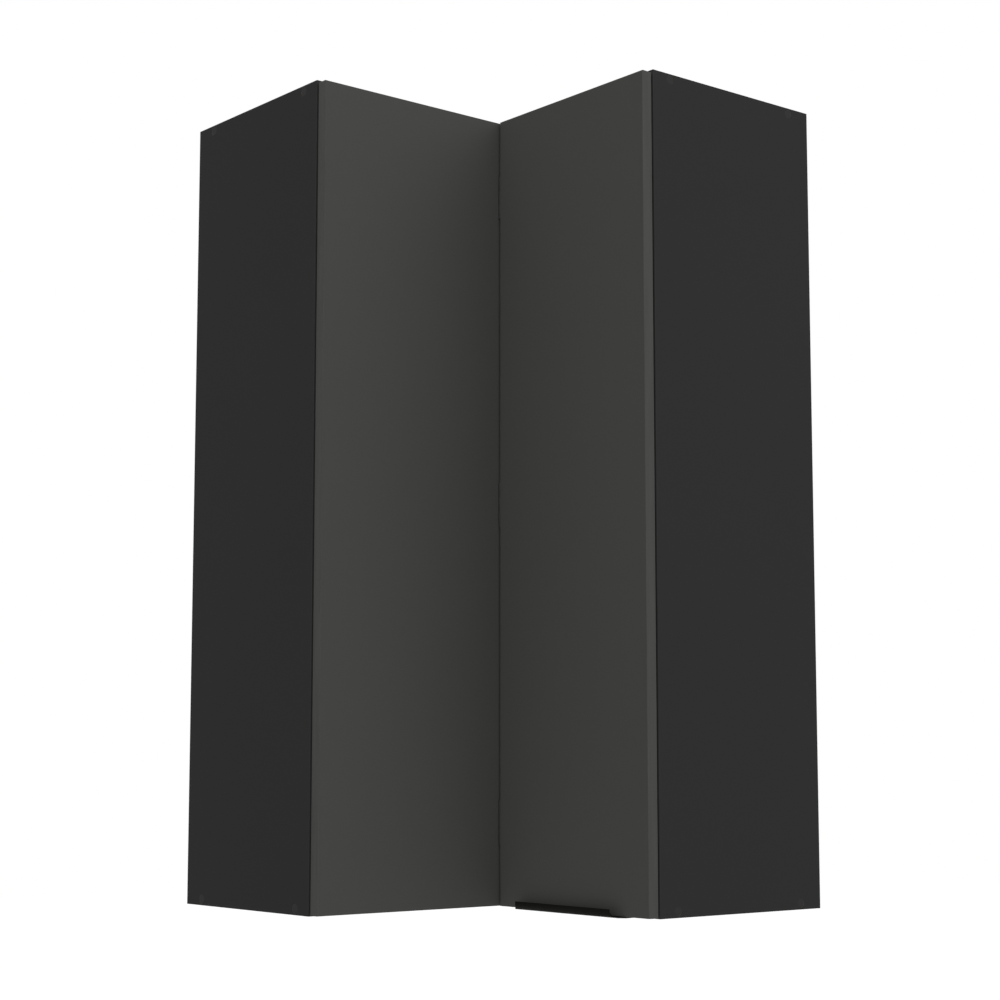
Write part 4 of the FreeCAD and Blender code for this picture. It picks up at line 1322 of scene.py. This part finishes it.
@dataclass
class Studio:
    """The floor, the light and the camera."""

    floor_drop: float = 1.45
    floor_size: float = 40.0
    floor_cells: int = 4
    floor_tone: Colour = (0.62, 0.62, 0.62)
    floor_cloud: Pattern = Pattern(2.0)
    floor_shades: Span = (0.99, 1.01)
    floor_lift: float = 0.46
    eye: Vector = field(default_factory=lambda: Vector((2.44329, -2.06374, 0.19980)))
    heading: float = 0.88177
    pitch: float = 0.11326
    lens: float = 73.805
    sensor: float = 36.0
    shift: float = 0.022
    ambient: float = 1.0
    dark_side: Triple = (-0.766, -0.643, 0.0)
    dark_start: float = 0.60
    dark_full: float = 0.80
    left_share: float = 0.04
    lamps: tuple[Lamp, ...] = (Lamp("right_lamp", (3.0, 0.7, 2.3), 12.0),
                               Lamp("front_lamp", (1.9, -2.7, 2.4), 15.0))
    lit_point: Triple = (0.3, -0.3, 0.6)

    def build_floor(self) -> bpy.types.Object:
        """Lay the pale floor below the hanging cabinet.

        Returns:
            The floor.
        """
        shape = bmesh.new()
        bmesh.ops.create_grid(shape, x_segments=self.floor_cells, y_segments=self.floor_cells,
                              size=self.floor_size / 2)
        bmesh.ops.translate(shape, vec=(0, 0, -self.floor_drop), verts=shape.verts)
        floor = add_object("floor", as_mesh("floor", shape))
        floor.data.materials.append(self.floor_finish())
        return floor

    def floor_finish(self) -> bpy.types.Material:
        """A pale floor, lifted to white for the camera and mirrors, that keeps the shadow.

        Returns:
            The finished material.
        """
        graph = Graph(bpy.data.materials.new("pale_floor"))
        cloud = graph.spread(graph.noise(self.floor_cloud))
        tone = graph.blend(cloud, *shades(self.floor_tone, self.floor_shades))
        matt = graph.principled(Base_Color=tone, Roughness=0.9, Specular_IOR_Level=0.0)
        lift = graph.math("MULTIPLY", graph.seen(), self.floor_lift)
        both = graph.tree.nodes.new("ShaderNodeAddShader")
        graph.plug(matt, both.inputs[0])
        graph.plug(graph.glow("ShaderNodeEmission", lift), both.inputs[1])
        graph.end("ShaderNodeOutputMaterial", both.outputs[0])
        return graph.owner

    def build_world(self) -> None:
        """White to the camera, and a soft light from all round that is weak from the left."""
        world = bpy.data.worlds.new("studio")
        bpy.context.scene.world = world
        graph = Graph(world)
        leftness = graph.tree.nodes.new("ShaderNodeVectorMath")
        leftness.operation = "DOT_PRODUCT"
        leftness.inputs[1].default_value = self.dark_side
        graph.plug(graph.coords.outputs["Generated"], leftness.inputs[0])
        level = graph.tree.nodes.new("ShaderNodeMapRange")
        level.interpolation_type = "SMOOTHSTEP"
        level.inputs["From Min"].default_value = self.dark_start
        level.inputs["From Max"].default_value = self.dark_full
        level.inputs["To Min"].default_value = self.ambient
        level.inputs["To Max"].default_value = self.ambient * self.left_share
        graph.plug(leftness.outputs["Value"], level.inputs["Value"])
        mix = graph.tree.nodes.new("ShaderNodeMixShader")
        graph.plug(graph.seen(), mix.inputs[0])
        graph.plug(graph.glow("ShaderNodeBackground", level.outputs[0]), mix.inputs[1])
        graph.plug(graph.glow("ShaderNodeBackground", 1.0), mix.inputs[2])
        graph.end("ShaderNodeOutputWorld", mix.outputs[0])

    def build_camera(self) -> None:
        """Set the camera at the photograph's eye, heading and lens."""
        data = bpy.data.cameras.new("camera")
        data.lens = self.lens
        data.sensor_width = self.sensor
        data.shift_y = self.shift
        camera = add_object("camera", data)
        camera.location = self.eye
        ahead = Vector((-math.sin(self.heading) * math.cos(self.pitch),
                        math.cos(self.heading) * math.cos(self.pitch), math.sin(self.pitch)))
        camera.rotation_mode = "QUATERNION"
        camera.rotation_quaternion = ahead.to_track_quat("-Z", "Y")
        bpy.context.scene.camera = camera

    def build(self) -> None:
        """Build the whole studio."""
        bpy.context.scene.view_settings.view_transform = "Standard"
        self.build_camera()
        self.build_floor()
        self.build_world()
        for lamp in self.lamps:
            lamp.hang(Vector(self.lit_point))


def main() -> None:
    """Build the sub-assemblies in order and report each piece."""
    logging.basicConfig(level=logging.INFO, format="%(name)s: %(message)s")
    finishes = Finishes()
    carcass = Carcass(finishes)
    carcass.dress_boards()
    carcass.dress_fixings()
    carcass.build_caps()
    ShelfPins(finishes.zinc).build()
    leaves = Leaves(finishes)
    leaves.dress()
    leaves.build_handle()
    leaves.build_fold_hinges()
    CupHinges(finishes).build()
    WallHangers(finishes).build()
    SoftenedNodes(finishes.bumper, Slot.BUMPER, Body.CARCASS, ("leaf_bumpers",),
                  width=0.5 * MM, segments=3).build()
    Studio().build()


if __name__ == "__main__":
    main()
